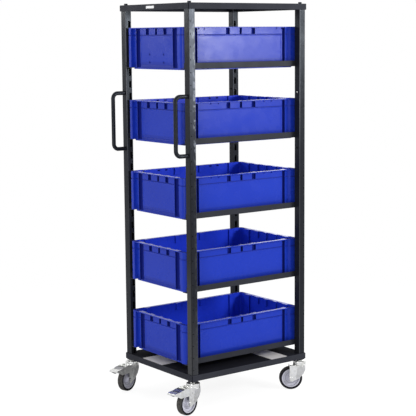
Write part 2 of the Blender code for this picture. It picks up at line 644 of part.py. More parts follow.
def make_pedal(corner, swivel):
    """A folded brake pedal: two cheeks beside the fork, joined by a tread behind the wheel."""
    axis = add_empty("pedal_axis_" + corner, swivel, (-PEDAL_PIVOT_BACK, 0.0, PEDAL_PIVOT_HEIGHT))
    sheet = PEDAL_SHEET
    tread = [
        pedal_point(PEDAL_TREAD_BACK, PEDAL_TREAD_ABOVE),
        pedal_point(PEDAL_KNEE_BACK, PEDAL_KNEE_ABOVE),
        pedal_point(PEDAL_TIP_BACK, PEDAL_TIP_ABOVE),
        pedal_point(PEDAL_TIP_BACK, PEDAL_TIP_ABOVE - PEDAL_TIP_LIP),
        pedal_point(PEDAL_TIP_BACK - sheet, PEDAL_TIP_ABOVE - PEDAL_TIP_LIP),
        pedal_point(PEDAL_TIP_BACK - sheet, PEDAL_TIP_ABOVE - sheet),
        pedal_point(PEDAL_KNEE_BACK - sheet / 4, PEDAL_KNEE_ABOVE - sheet),
        pedal_point(PEDAL_TREAD_BACK, PEDAL_TREAD_ABOVE - sheet),
    ]
    name = "brake_pedal_" + corner
    pedal = add_object(name, prism_mesh(tread, -PEDAL_OUTER, PEDAL_OUTER), axis, ZINC)
    boss = PEDAL_PIN_RADIUS * PEDAL_BOSS_SHARE
    under = sheet / 2
    cheek = [
        (boss, boss),
        (PEDAL_PIVOT_BACK - PEDAL_NOSE_BACK, boss * PEDAL_NOSE_FOOT_SHARE),
        pedal_point(PEDAL_NOSE_BACK, PEDAL_NOSE_ABOVE),
        pedal_point(PEDAL_SHOULDER_BACK, PEDAL_NOSE_ABOVE),
        pedal_point(PEDAL_TREAD_BACK, PEDAL_TREAD_ABOVE - under),
        pedal_point(PEDAL_KNEE_BACK, PEDAL_KNEE_ABOVE - under),
        pedal_point(PEDAL_TIP_BACK - under, PEDAL_TIP_ABOVE - under),
        pedal_point(PEDAL_TIP_BACK - under, PEDAL_TIP_ABOVE - PEDAL_TIP_LIP + under),
        pedal_point(PEDAL_CHEEK_LOW_BACK, -PEDAL_CHEEK_BELOW),
        (-boss, -boss),
        (boss, -boss),
    ]
    for side, sy in (("left", 1), ("right", -1)):
        plate = prism_mesh(cheek, sy * PEDAL_INNER, sy * (PEDAL_OUTER - sheet / 10))
        combine(pedal, add_tool(f"{name}_cheek_{side}", plate, axis), "UNION")
    radius = PEDAL_PIN_RADIUS + PEDAL_PIN_CLEARANCE
    hole = turned_mesh([(radius, -PEDAL_OUTER - OVERRUN), (radius, PEDAL_OUTER + OVERRUN)], BOLT_SIDES)
    tool = add_tool(name + "_pin_hole", hole, axis, (0.0, 0.0, 0.0), (math.pi / 2, 0.0, 0.0))
    combine(pedal, tool, "DIFFERENCE")
    return pedal


def make_caster(corner, cart):
    """One caster: its mount on the post, and all that turns below it."""
    sx, sy = CORNERS[corner]
    make_caster_mount(corner, cart)
    swivel = add_empty("swivel_axis_" + corner, cart, (sx * POST_MID_X, sy * POST_MID_Y, 0.0),
                       (0.0, 0.0, math.radians(SWIVEL_REST[corner])))
    make_fork(corner, swivel)
    make_axle(corner, swivel)
    make_wheel(corner, swivel)
    if corner in BRAKED:
        make_pedal(corner, swivel)


def make_plates(cart):
    """The blank name plate on the top shelf's rear edge and two blank labels on the bottom shelf."""
    outside = -SHELF_OUT_X - GAP
    middle = TOP_SHELF_TOP - SHELF_HEIGHT / 2
    half_length = NAME_PLATE_LENGTH / 2
    half_height = NAME_PLATE_HEIGHT / 2
    plate = box_mesh((outside - PLATE_THICKNESS, NAME_PLATE_OFFSET - half_length, middle - half_height),
                     (outside, NAME_PLATE_OFFSET + half_length, middle + half_height))
    add_object("name_plate", plate, cart, WHITE_LABEL)
    under = SHELF_TOP + GAP
    over = under + PLATE_THICKNESS
    rear = -SHELF_OUT_X + FLOOR_LABEL_EDGE_GAP
    half_length = FLOOR_LABEL_LENGTH / 2
    label = box_mesh((rear, REAR_LABEL_CENTRE_Y - half_length, under),
                     (rear + FLOOR_LABEL_WIDTH, REAR_LABEL_CENTRE_Y + half_length, over))
    add_object("shelf_label_rear", label, cart, PALE_LABEL)
    right = -SHELF_OUT_Y + FLOOR_LABEL_EDGE_GAP
    half_width = FLOOR_LABEL_WIDTH / 2
    label = box_mesh((RIGHT_LABEL_CENTRE_X - half_width, right, under),
                     (RIGHT_LABEL_CENTRE_X + half_width, right + FLOOR_LABEL_LENGTH, over))
    add_object("shelf_label_right", label, cart, PALE_LABEL)


def centre_on_floor(cart):
    """Shift the whole cart so that the origin is under the middle of its bounding box."""
    bpy.context.view_layer.update()
    graph = bpy.context.evaluated_depsgraph_get()
    corners = []
    for obj in bpy.context.scene.objects:
        if obj.type == "MESH" and not obj.hide_render:
            solid = obj.evaluated_get(graph)
            corners += [solid.matrix_world @ Vector(corner) for corner in solid.bound_box]
    for axis in (0, 1):
        values = [corner[axis] for corner in corners]
        cart.location[axis] -= (min(values) + max(values)) / 2
    bpy.context.view_layer.update()


def build():
    """Make every piece of the cart."""
    for old in list(bpy.context.scene.objects):
        bpy.data.objects.remove(old)
    cart = add_empty("cart", None)
    make_shelf("top_shelf", cart, TOP_SHELF_TOP, posts_pass=False)
    make_shelf("bottom_shelf", cart, SHELF_TOP, posts_pass=True)
    for corner in CORNERS:
        make_post(corner, cart)
        make_top_bolt(corner, cart)
        make_caster(corner, cart)
    for level in range(1, LEVELS + 1):
        make_bin(level, cart)
        for side in ("left", "right"):
            make_rail(level, side, cart)
    for side in ("left", "right"):
        make_handle(side, cart)
        for end in ("upper", "lower"):
            make_handle_bolt(side, end, cart)
    make_plates(cart)
    centre_on_floor(cart)


build()
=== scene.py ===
import math

import bmesh
import bpy
from mathutils import Matrix, Vector


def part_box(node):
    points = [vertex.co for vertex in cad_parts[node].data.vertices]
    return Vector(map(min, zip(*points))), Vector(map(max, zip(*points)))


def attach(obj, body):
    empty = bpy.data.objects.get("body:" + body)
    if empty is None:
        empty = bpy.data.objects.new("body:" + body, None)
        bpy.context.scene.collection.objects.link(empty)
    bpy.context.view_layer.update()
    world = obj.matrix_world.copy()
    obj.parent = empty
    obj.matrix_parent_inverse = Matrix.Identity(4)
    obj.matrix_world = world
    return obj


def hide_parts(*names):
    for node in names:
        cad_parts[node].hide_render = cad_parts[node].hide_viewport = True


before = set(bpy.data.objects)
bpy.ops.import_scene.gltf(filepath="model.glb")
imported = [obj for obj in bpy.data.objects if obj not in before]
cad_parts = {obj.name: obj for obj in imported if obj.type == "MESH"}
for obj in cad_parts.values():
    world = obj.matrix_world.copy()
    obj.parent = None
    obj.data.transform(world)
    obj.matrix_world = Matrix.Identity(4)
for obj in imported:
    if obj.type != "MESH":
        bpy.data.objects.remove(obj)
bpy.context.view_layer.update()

# Centre of the cart's frame, in the row frame: every piece is laid out round it and moved there at the end
bin_low, bin_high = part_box("bin_1")
MIDDLE = Vector(((bin_low.x + bin_high.x) / 2, (bin_low.y + bin_high.y) / 2, 0.0))

GAP = 0.0003
JUST = 1e-6
QUARTER = math.pi / 2
FINE_STEPS = 4
CORNERS = {"rear_left": (-1, 1), "rear_right": (-1, -1), "front_left": (1, 1), "front_right": (1, -1)}
SIDES = {"left": 1, "right": -1}
LEVELS = 5
BOLT_HOLE = 0.0044


def local_box(node):
    """Lowest and highest corner of a CAD node, seen from the middle of the cart."""
    low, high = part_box(node)
    return low - MIDDLE, high - MIDDLE


def shift(x, y, z):
    """A move without a turn."""
    return Matrix.Translation((x, y, z))


def spin(angle, axis):
    """A turn about an axis."""
    return Matrix.Rotation(angle, 4, axis)


# Node trees and materials

def node(tree, kind, values=None, **settings):
    """Add a node; values are its inputs by name or number, each a constant or a socket to link."""
    made = tree.nodes.new(kind)
    for key, value in settings.items():
        setattr(made, key, value)
    for key, value in (values or {}).items():
        if isinstance(value, bpy.types.NodeSocket):
            tree.links.new(value, made.inputs[key])
        else:
            made.inputs[key].default_value = value
    return made


def shade(tree, kind, values=None, key=0, **settings):
    """One output of a new shader or maths node."""
    return node(tree, "ShaderNode" + kind, values, **settings).outputs[key]


def geo(tree, kind, values=None, key=0, **settings):
    """One output of a new geometry node."""
    return node(tree, "GeometryNode" + kind, values, **settings).outputs[key]


class Finish:
    """A material under way; a noise is given by its scale, detail, stretch and roughness."""

    def __init__(self, name, colour, roughness, metallic=0.0, specular=0.5):
        self.material = bpy.data.materials.new(name)
        self.material.use_nodes = True
        self.tree = self.material.node_tree
        self.shader = self.tree.nodes["Principled BSDF"]
        self.material.diffuse_color = self.colour = (*colour, 1.0)
        self.material.roughness = roughness
        self.material.metallic = metallic
        for key, value in (("Base Color", self.colour), ("Roughness", roughness), ("Metallic", metallic),
                           ("Specular IOR Level", specular)):
            self.shader.inputs[key].default_value = value
        self.place = shade(self.tree, "TexCoord", key="Object")
        self.normal = None

    def noise(self, scale, detail=2.0, stretch=(1.0, 1.0, 1.0), roughness=0.5):
        """Soft noise at a number of spots to the metre, drawn out along an axis by its stretch."""
        spots = shade(self.tree, "Mapping", {"Vector": self.place, "Scale": stretch})
        return shade(self.tree, "TexNoise", {"Vector": spots, "Scale": scale, "Detail": detail,
                                             "Roughness": roughness})

    def band(self, value, low, high, start=0.0, end=1.0):
        """Spread a value between low and high over the range from start to end."""
        return shade(self.tree, "MapRange", {"Value": value, "From Min": low, "From Max": high,
                                             "To Min": start, "To Max": end})

    def both(self, one, other, operation="MULTIPLY"):
        """Two masks multiplied, or put together by another operation."""
        return shade(self.tree, "Math", {0: one, 1: other}, operation=operation)

    def mark(self, name):
        """A number that the mesh carries for each face or vertex."""
        return shade(self.tree, "Attribute", key="Fac", attribute_name=name)

    def tint(self, mask, colour):
        """Lay another colour over the surface where the mask says."""
        base = self.shader.inputs["Base Color"]
        under = base.links[0].from_socket if base.links else self.colour
        mixed = shade(self.tree, "Mix", {0: mask, 6: under, 7: (*colour, 1.0)}, key=2, data_type="RGBA")
        self.tree.links.new(mixed, base)

    def tint_marked(self, name, amount, colour):
        """Lay another colour over the marked faces."""
        self.tint(self.band(self.mark(name), 0.0, 1.0, 0.0, amount), colour)

    def mottle(self, colour, amount, low, high, *noise):
        """Lay another colour over the patches where a noise rises from low to high."""
        self.tint(self.band(self.noise(*noise), low, high, 0.0, amount), colour)

    def set_roughness(self, value):
        """Let the roughness follow a texture."""
        self.rough = value
        self.tree.links.new(value, self.shader.inputs["Roughness"])

    def roughen(self, start, end, *noise, top=0.7):
        """Let the roughness wander from start to end with a noise."""
        self.set_roughness(self.band(self.noise(*noise), 0.3, top, start, end))

    def dull(self, mask):
        """Take away the gloss where a mask says."""
        self.set_roughness(self.both(self.rough, mask, "MAXIMUM"))

    def bump(self, depth, strength, *noise):
        """Add fine relief from a noise, a depth in metres."""
        values = {"Height": self.noise(*noise), "Distance": depth, "Strength": strength}
        if self.normal is not None:
            values["Normal"] = self.normal
        self.normal = shade(self.tree, "Bump", values)
        self.tree.links.new(self.normal, self.shader.inputs["Normal"])


def powder_coat(name, roughness, specular, depth=1.0):
    """Anthracite powder coat: orange peel, dull patches, fine dust and a few rub marks."""
    colour = tuple(depth * value for value in (0.0250, 0.0262, 0.0335))
    made = Finish(name, colour, roughness, specular=specular)
    made.mottle(tuple(2.0 * value for value in colour), 0.20, 0.42, 0.72, 9.0, 3.0)
    made.mottle((0.14, 0.14, 0.15), 0.15, 0.66, 0.74, 1300.0, 1.0)
    made.mottle((0.13, 0.135, 0.15), 0.20, 0.68, 0.80, 60.0, 4.0, (1.0, 1.0, 9.0), 0.6)
    made.shader.inputs["Specular Tint"].default_value = (0.84, 0.91, 1.0, 1.0)
    made.roughen(roughness - 0.05, roughness + 0.06, 24.0, 4.0)
    made.bump(0.0007, 0.35, 46.0, 2.0, (1.0, 1.0, 0.6))
    made.bump(0.00018, 0.35, 520.0, 2.0)
    return made


def tube_coat():
    """The posts' glossier coat with a painted highlight on the bends; on the rear right post painted highlight flecks
    on one edge, a painted bluish sheen up high, painted floor light low down and painted shade on the low outer bend.
    """
    made = powder_coat("satin_anthracite_tube", 0.25, 0.11, 0.48)
    made.shader.inputs["Specular Tint"].default_value = (0.76, 0.87, 1.0, 1.0)
    spots = shade(made.tree, "Mapping", {"Vector": made.place, "Location": -MIDDLE})
    x, y, z = node(made.tree, "ShaderNodeSeparateXYZ", {0: spots}).outputs
    band, both = made.band, made.both
    inner_edge = both(band(x, -0.2860, -0.2770), band(x, -0.2660, -0.2680))
    strip = both(inner_edge, band(y, -0.2415, -0.2425))
    upper_part = band(z, 1.0, 1.25, 0.05, 1.0)
    # Painted highlight: pale flecks along the inner edge of the near post's outer face, on its upper part.
    painted_highlight_flecks = band(made.noise(125.0, 3.0, (1.0, 1.0, 0.5)), 0.50, 0.58, 0.0, 0.9)
    made.tint(both(both(strip, upper_part), painted_highlight_flecks), (0.42, 0.45, 0.52))
    near_post = both(band(x, -0.2620, -0.2640), band(y, -0.2060, -0.2090))
    rear_face, right_face = band(x, -0.2960, -0.2968), band(y, -0.2424, -0.2431)
    painted_floor_light, painted_bluish_sheen = (0.050, 0.051, 0.055), (0.078, 0.084, 0.105)
    # Painted floor light: the near post is paler low down, most on its outer -X face.
    made.tint(both(near_post, both(band(z, 0.62, 0.44, 0.0, 0.85), rear_face)), painted_floor_light)
    made.tint(both(near_post, band(z, 0.42, 0.26, 0.0, 0.55)), painted_floor_light)
    # Painted bluish sheen high on the near post's outer -Y face.
    made.tint(both(near_post, both(band(z, 0.98, 1.40, 0.0, 0.60), right_face)), painted_bluish_sheen)
    # Painted shade on the near post's outer bend, over its lower part.
    outer_bend = both(band(x, -0.2960, -0.2975), band(y, -0.2390, -0.2405))
    made.tint(both(outer_bend, band(upper_part, 0.0, 1.0, 0.9, 0.0)), (0.0025, 0.0025, 0.0035))
    # Painted highlight along the bends, fainter low down and on the near post's outer bend.
    pale = both(made.mark("bend"), band(upper_part, 0.0, 1.0, 0.18, 0.75))
    made.tint(both(pale, band(outer_bend, 0.0, 1.0, 1.0, 0.25)), (0.16, 0.165, 0.18))
    return made.material


def sheet_coat():
    """The shelves' matt coat, with painted shade on the top faces and in the corner seams, which are also duller."""
    made = powder_coat("matt_anthracite_sheet", 0.62, 0.08)
    # Painted shade on the top faces and in the corner seams.
    made.tint_marked("load_face", 0.9, (0.0050, 0.0050, 0.0085))
    made.dull(made.mark("load_face"))
    return made.material


def bin_plastic():
    """Blue moulded plastic: fine grain, slight waves from the mould, scuffs that run along the sides, painted light
    inside, and painted shade in the recesses, under the collar and low on the sides.
    """
    made = Finish("blue_moulded_plastic", (0.0102, 0.0352, 0.408), 0.24, specular=0.14)
    made.mottle((0.0081, 0.0282, 0.353), 0.35, 0.35, 0.7, 5.0, 3.0)
    made.mottle((0.016, 0.046, 0.45), 0.35, 0.52, 0.75, 3.2, 2.0, (1.0, 1.0, 2.0))
    scuffs = made.band(made.noise(34.0, 5.0, (1.0, 1.0, 22.0), 0.65), 0.60, 0.74, 0.0, 0.14)
    patches = made.band(made.noise(7.0, 1.0), 0.5, 0.65)
    made.tint(made.both(scuffs, patches), (0.10, 0.15, 0.62))
    # Painted light on the inside faces.
    made.tint_marked("inside", 0.9, (0.0165, 0.0480, 0.620))
    # Painted shade in the recesses, on the line under the collar and low on the sides.
    made.tint_marked("recess", 0.9, (0.0020, 0.0060, 0.130))
    made.roughen(0.20, 0.33, 16.0, 4.0, top=0.72)
    made.dull(made.mark("recess"))
    made.bump(0.0010, 0.3, 4.5, 1.0)
    made.bump(0.00008, 0.5, 1700.0, 1.0)
    return made.material


def zinc_plate():
    """Bright zinc: soft spangle, brushed streaks, greyer patches and painted shade on marked faces, which on the fork's
    cut edges also stands for bare sheared sheet.
    """
    made = Finish("bright_zinc", (0.83, 0.835, 0.825), 0.20, metallic=1.0)
    made.mottle((0.62, 0.625, 0.61), 0.45, 0.42, 0.66, 75.0, 3.0)
    made.mottle((0.45, 0.44, 0.42), 0.45, 0.56, 0.76, 30.0, 4.0)
    # Painted shade on the marked faces of the fork and the pedal; on the fork's cut edges it is also the darker bare
    # sheet.
    made.tint_marked("dull", 1.0, (0.20, 0.20, 0.22))
    made.roughen(0.13, 0.28, 110.0, 3.0)
    made.bump(0.00012, 0.4, 420.0, 2.0, (1.0, 1.0, 0.3))
    return made.material


def wheel_nylon():
    """Pale grey moulded wheel centre, with a little road dust and painted shade in two rings on the disc."""
    made = Finish("pale_grey_nylon", (0.54, 0.54, 0.62), 0.45, specular=0.4)
    made.mottle((0.38, 0.37, 0.38), 0.55, 0.48, 0.78, 55.0, 4.0)
    # Painted shade in two rings on the disc.
    made.tint_marked("ring", 0.6, (0.16, 0.16, 0.20))
    made.roughen(0.40, 0.58, 90.0, 2.0)
    made.bump(0.0001, 0.4, 900.0, 1.0)
    return made.material


def tyre_rubber():
    """Dark grey rubber, dull, with dust worn into the running face."""
    made = Finish("grey_rubber", (0.011, 0.011, 0.015), 0.72, specular=0.08)
    dust = made.band(made.noise(120.0, 4.0), 0.3, 0.75, 0.25, 1.0)
    made.tint(made.both(made.mark("running_face"), dust), (0.105, 0.100, 0.092))
    made.mottle((0.055, 0.054, 0.052), 0.3, 0.55, 0.8, 45.0, 3.0)
    made.roughen(0.62, 0.82, 160.0, 2.0)
    made.bump(0.00025, 0.5, 800.0, 3.0)
    return made.material


def label_film(name, colour):
    """Thin printed film with nothing on it: faintly mottled, with a soft sheen."""
    made = Finish(name, colour, 0.40, specular=0.4)
    made.mottle(tuple(value * 0.72 for value in colour), 0.35, 0.5, 0.8, 60.0, 4.0)
    made.roughen(0.34, 0.50, 40.0, 2.0)
    made.bump(0.0001, 0.3, 300.0, 2.0)
    return made.material


COAT = powder_coat("anthracite_powder_coat", 0.42, 0.08, 0.92).material
TUBE_COAT = tube_coat()
SHELF_COAT = sheet_coat()
BLUE = bin_plastic()
ZINC = zinc_plate()
NYLON = wheel_nylon()
RUBBER = tyre_rubber()
PALE_FILM = label_film("pale_grey_film", (0.62, 0.60, 0.59))
WHITE_FILM = label_film("white_film", (0.80, 0.81, 0.82))


# Mesh building

def values_of(piece, name, domain="FACE"):
    """Give a piece a number for each face or vertex, and list those with their numbers."""
    parts = piece.data.polygons if domain == "FACE" else piece.data.vertices
    return zip(parts, piece.data.attributes.new(name, "FLOAT", domain).data)


def add_piece(name, bm, material, smooth=35.0):
    """Make an object of a mesh laid out round the middle of the cart."""
    bmesh.ops.recalc_face_normals(bm, faces=bm.faces)
    mesh = bpy.data.meshes.new(name)
    bm.to_mesh(mesh)
    bm.free()
    mesh.materials.append(material)
    piece = bpy.data.objects.new(name, mesh)
    bpy.context.scene.collection.objects.link(piece)
    return reshade(piece, smooth)


def blank_piece(name, material):
    """An empty piece for a geometry tree to fill."""
    return add_piece(name, bmesh.new(), material)


def reshade(piece, smooth=35.0):
    """Shade a piece smooth, with sharp edges where its faces turn."""
    piece.data.shade_smooth()
    piece.data.set_sharp_from_angle(angle=math.radians(smooth))
    return piece


def copy_of(template, name, matrix):
    """A copy of a template with its modifiers, turned or mirrored in its mesh."""
    piece = template.copy()
    piece.data = template.data.copy()
    piece.name = piece.data.name = name
    piece.data.transform(matrix)
    if matrix.determinant() < 0:
        piece.data.flip_normals()
    bpy.context.scene.collection.objects.link(piece)
    return piece


def discard(*pieces):
    """Remove templates and tools that have done their work."""
    for piece in pieces:
        mesh = piece.data
        bpy.data.objects.remove(piece)
        bpy.data.meshes.remove(mesh)


def round_edges(piece, width, angle=32.0):
    """A small bevel on every sharp edge."""
    bevel = piece.modifiers.new("rounded_edges", "BEVEL")
    bevel.width = width
    bevel.segments = 2
    bevel.limit_method = "ANGLE"
    bevel.angle_limit = math.radians(angle)
    bevel.harden_normals = True
    bevel.miter_outer = "MITER_ARC"


def settle(piece):
    """Turn a piece with its modifiers into a plain mesh."""
    graph = bpy.context.evaluated_depsgraph_get()
    mesh = bpy.data.meshes.new_from_object(piece.evaluated_get(graph))
    old = piece.data
    piece.modifiers.clear()
    piece.data = mesh
    mesh.name = piece.name
    bpy.data.meshes.remove(old)
    return piece


def stand_for(piece, body, slot, *nodes):
    """Carry a piece to the cart's place; it rides on a body and stands for CAD nodes. The slot is not used."""
    piece.data.transform(Matrix.Translation(MIDDLE))
    piece.modifiers.new("even_normals", "WEIGHTED_NORMAL").keep_sharp = True
    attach(piece, body)
    if nodes:
        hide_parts(*nodes)


def skin(bm, rings, closed=False, cap=True):
    """Join rings of equal counts by faces, and cap both ends or join them."""
    loops = [[bm.verts.new(point) for point in ring] for ring in rings]
    count = len(rings[0])
    for lower, upper in zip(loops, loops[1:] + (loops[:1] if closed else [])):
        for k in range(count):
            j = (k + 1) % count
            bm.faces.new((lower[k], lower[j], upper[j], upper[k]))
    if cap and not closed:
        bm.faces.new(list(reversed(loops[0])))
        bm.faces.new(loops[-1])
    return loops


def turned(bm, profile, sides, closed=False, matrix=None):
    """Turn a profile of (radius, height) about Z; a radius may be a function of the angle."""
    rings = []
    for radius, height in profile:
        ring = []
        for k in range(sides):
            angle = k * math.tau / sides
            reach = radius(angle) if callable(radius) else radius
            point = Vector((reach * math.cos(angle), reach * math.sin(angle), height))
            ring.append(matrix @ point if matrix else point)
        rings.append(ring)
    skin(bm, rings, closed)
    return bm


def both_ways(half, closed=False):
    """A profile with the same at the other end, as one line or as a loop."""
    other = [(radius, -height) for radius, height in reversed(half)]
    return half + other if closed else other + half


def hexagon(across, limit=10.0):
    """Radius of a hexagon, half across its flats, held inside a circle, as a function of the angle."""
    def radius(angle):
        return min(across / math.cos((angle + math.pi / 6) % (math.pi / 3) - math.pi / 6), limit)
    return radius


def extrude_outline(bm, outline, low, high, axis=1, cap=True):
    """Push an outline of two coordinates along the third axis."""
    rings = []
    for far in (low, high):
        rings.append([Vector(point[:axis] + (far,) + point[axis:]) for point in map(tuple, outline)])
    return skin(bm, rings, cap=cap)


def pushed(outline, low, high, axis=1):
    """A new mesh of an outline pushed along an axis."""
    bm = bmesh.new()
    extrude_outline(bm, outline, low, high, axis)
    return bm


def rounded_path(points, radius, steps=FINE_STEPS, closed=False):
    """A polyline with its corners rounded; a radius may be given for each corner."""
    count = len(points)
    radii = radius if isinstance(radius, (list, tuple)) else [radius] * count
    made = []
    for k, corner in enumerate(points):
        corner = Vector(corner)
        if not closed and k in (0, count - 1) or radii[k] <= 0.0:
            made.append(corner)
            continue
        before = (Vector(points[k - 1]) - corner).normalized()
        after = (Vector(points[(k + 1) % count]) - corner).normalized()
        half = before.angle(after) / 2
        centre = corner + (before + after).normalized() * radii[k] / math.sin(half)
        start = corner + before * radii[k] / math.tan(half) - centre
        stop = corner + after * radii[k] / math.tan(half) - centre
        sweep = start.angle(stop)
        for step in range(steps + 1):
            share = step / steps
            spoke = start * math.sin((1 - share) * sweep) + stop * math.sin(share * sweep)
            made.append(centre + spoke / math.sin(sweep))
    return made


def sheet_outline(path, thickness):
    """Closed outline of a bent sheet whose one face follows a path; its other face lies to the left of it."""
    other = []
    for k, point in enumerate(path):
        ahead = path[min(k + 1, len(path) - 1)] - point
        behind = point - path[max(k - 1, 0)]
        one = ahead.normalized() if ahead.length > 0 else behind.normalized()
        two = behind.normalized() if behind.length > 0 else one
        across = Vector((-(one + two).y, (one + two).x)).normalized()
        spread = max(across.dot(Vector((-one.y, one.x))), 0.3)
        other.append(point + across * thickness / spread)
    return list(path) + other[::-1]


def rounded_rectangle(half_x, half_y, radius, height, steps=FINE_STEPS):
    """One ring of points round a rectangle with rounded corners."""
    ring = []
    for quarter in range(4):
        sx = 1 if quarter in (0, 3) else -1
        sy = 1 if quarter < 2 else -1
        for step in range(steps + 1):
            angle = QUARTER * (quarter + step / steps)
            ring.append(Vector((sx * (half_x - radius) + radius * math.cos(angle),
                                sy * (half_y - radius) + radius * math.sin(angle), height)))
    return ring


def cut(piece, cutter, operation="DIFFERENCE"):
    """Cut a mesh out of a piece, join it on, or keep what they share, at once."""
    tool = add_piece(piece.name + "_tool", cutter, piece.data.materials[0])
    modifier = piece.modifiers.new("cut", "BOOLEAN")
    modifier.operation = operation
    modifier.object = tool
    modifier.solver = "EXACT"
    bpy.context.view_layer.update()
    settle(piece)
    discard(tool)
    return reshade(piece)


def cut_round(piece, *shapes, operation="DIFFERENCE"):
    """Cut out or join on round shapes, each given by its profile, number of sides and place."""
    tool = bmesh.new()
    for profile, sides, place in shapes:
        turned(tool, profile, sides, matrix=place)
    cut(piece, tool, operation)


def box(bm, low, high):
    """A block between two opposite corners, used only as a cutter."""
    x0, x1 = sorted((low[0], high[0]))
    y0, y1 = sorted((low[1], high[1]))
    skin(bm, [[Vector((x0, y0, z)), Vector((x1, y0, z)), Vector((x1, y1, z)), Vector((x0, y1, z))]
              for z in sorted((low[2], high[2]))])


# Geometry Nodes

SOCKETS = {float: "NodeSocketFloat", int: "NodeSocketInt", tuple: "NodeSocketVector",
           type(None): "NodeSocketObject"}
ORIGIN = (0.0, 0.0, 0.0)


def new_tree(name, sizes):
    """A geometry tree with named sizes; returns the tree and its inputs by name."""
    tree = bpy.data.node_groups.new(name, "GeometryNodeTree")
    tree.interface.new_socket("Geometry", in_out="INPUT", socket_type="NodeSocketGeometry")
    for label, value in sizes.items():
        socket = tree.interface.new_socket(label, in_out="INPUT", socket_type=SOCKETS[type(value)])
        if value is not None:
            socket.default_value = value
    tree.interface.new_socket("Geometry", in_out="OUTPUT", socket_type="NodeSocketGeometry")
    return tree, {socket.name: socket for socket in tree.nodes.new("NodeGroupInput").outputs}


def close_tree(tree, geometry, material):
    """Give what a tree has made its material, as the tree's result."""
    painted = geo(tree, "SetMaterial", {"Geometry": geometry, "Material": material})
    tree.links.new(painted, tree.nodes.new("NodeGroupOutput").inputs[0])
    return tree


def gather(tree, kind, slot, parts, values=None, **settings):
    """A geometry node that takes several parts by one of its inputs."""
    made = node(tree, "GeometryNode" + kind, values, **settings)
    for part in parts:
        tree.links.new(part, made.inputs[slot])
    return made.outputs[0]


def repeated(tree, points, piece, values=None):
    """A piece, given as an object or as its geometry, repeated on points as one mesh."""
    if piece.type == "OBJECT":
        piece = geo(tree, "ObjectInfo", {"Object": piece}, key="Geometry")
    row = geo(tree, "InstanceOnPoints", {"Points": points, "Instance": piece, **(values or {})})
    return geo(tree, "RealizeInstances", {"Geometry": row})


def run_tree(piece, tree, values):
    """Run a tree on a piece with values for its named inputs, and keep the result as a plain mesh."""
    modifier = piece.modifiers.new(tree.name, "NODES")
    modifier.node_group = tree
    for item in tree.interface.items_tree:
        if item.item_type == "SOCKET" and item.in_out == "INPUT" and item.name in values:
            modifier[item.identifier] = values[item.name]
    piece.data.update()
    bpy.context.view_layer.update()
    return settle(piece)


# Bins

UNDER_RIM = 0.1665
BIN_TOP = 0.170
BASE_TOP = 0.007
COLLAR_BOTTOM = 0.141
LINE_BOTTOM = 0.1368
PANEL_DEPTH = 0.0115
LINE_DEPTH = 0.0018
GROOVE_DEPTH = 0.019
FIELD_DEPTH, FIELD_SLOPE = 0.0008, 0.002
FIELD_LOW, FIELD_HIGH = 0.014, 0.1355
FOOT_ROWS, FOOT_LEAN = (0.020, 0.030, 0.040), 0.0012
INNER_DEPTH, INNER_CORNER_DEPTH, INNER_RIDGE_DEPTH = 0.015, 0.0135, 0.0215
INNER_MARGIN = 0.002
INNER_RIDGE_LOW = 0.139
BASE_INSET, WELL_INSET = 0.020, 0.024
SHOULDER, FLOOR_TOP = 0.010, 0.003
CORNER_RADIUS, LEAST_RADIUS = 0.020, 0.004
CORNER_STEPS = 8
WALL_FROM, WALL_TO = PANEL_DEPTH + 0.002, 0.0165
RIM_EDGE, RIM_SOFT = 0.0008, 0.00023
NOTCH_HALF, NOTCH_HEIGHT, NOTCH_DEPTH = 0.0046, 0.0066, 0.0175
LONG_SIDE = {"half": 0.300, "column": 0.257, "jamb": 0.2505, "groove": (0.219, 0.2345), "field": 0.213,
             "gaps": ((0.0, 0.0058), (0.0655, 0.0098))}
SHORT_SIDE = {"half": 0.200, "column": 0.1695, "jamb": 0.1695, "groove": (0.1165, 0.1460), "field": 0.110,
              "gaps": ((0.0, 0.0068), (0.063, 0.0110))}
NOTCHES = {1: (0.187, 0.214), 2: (0.119, 0.158), 3: (0.119, 0.158), 4: (), 5: ()}


def clamp(value):
    """A value held between 0 and 1."""
    return max(0.0, min(1.0, value))


def in_collar_gap(side, along, spread=0.0):
    """Whether a place lies in one of the gaps of the collar under the rim."""
    return any(abs(along - centre) < half + spread for centre, half in side["gaps"])


def outer_depth(side, along, height, notches):
    """How far a bin's outer face stands back at a place on one of its sides."""
    groove_in, groove_out = side["groove"]
    if height > UNDER_RIM:
        return 0.0
    line = LINE_DEPTH if LINE_BOTTOM < height < COLLAR_BOTTOM else 0.0
    if along > side["column"]:
        return line
    if along > side["jamb"]:
        return line + PANEL_DEPTH * (side["column"] - along) / (side["column"] - side["jamb"])
    if groove_in < along < groove_out:
        return GROOVE_DEPTH
    if line:
        return PANEL_DEPTH + line
    if height > COLLAR_BOTTOM:
        if in_collar_gap(side, along):
            return GROOVE_DEPTH
        if height > UNDER_RIM - NOTCH_HEIGHT and any(abs(along - notch) < NOTCH_HALF for notch in notches):
            return NOTCH_DEPTH
        return PANEL_DEPTH
    field = (clamp((side["field"] - along) / FIELD_SLOPE) * clamp((height - FIELD_LOW) / FIELD_SLOPE)
             * clamp((FIELD_HIGH - height) / FIELD_SLOPE))
    foot = clamp((FOOT_ROWS[2] - height) / (FOOT_ROWS[2] - FIELD_LOW))
    return PANEL_DEPTH + FIELD_DEPTH * field + FOOT_LEAN * foot ** 1.5


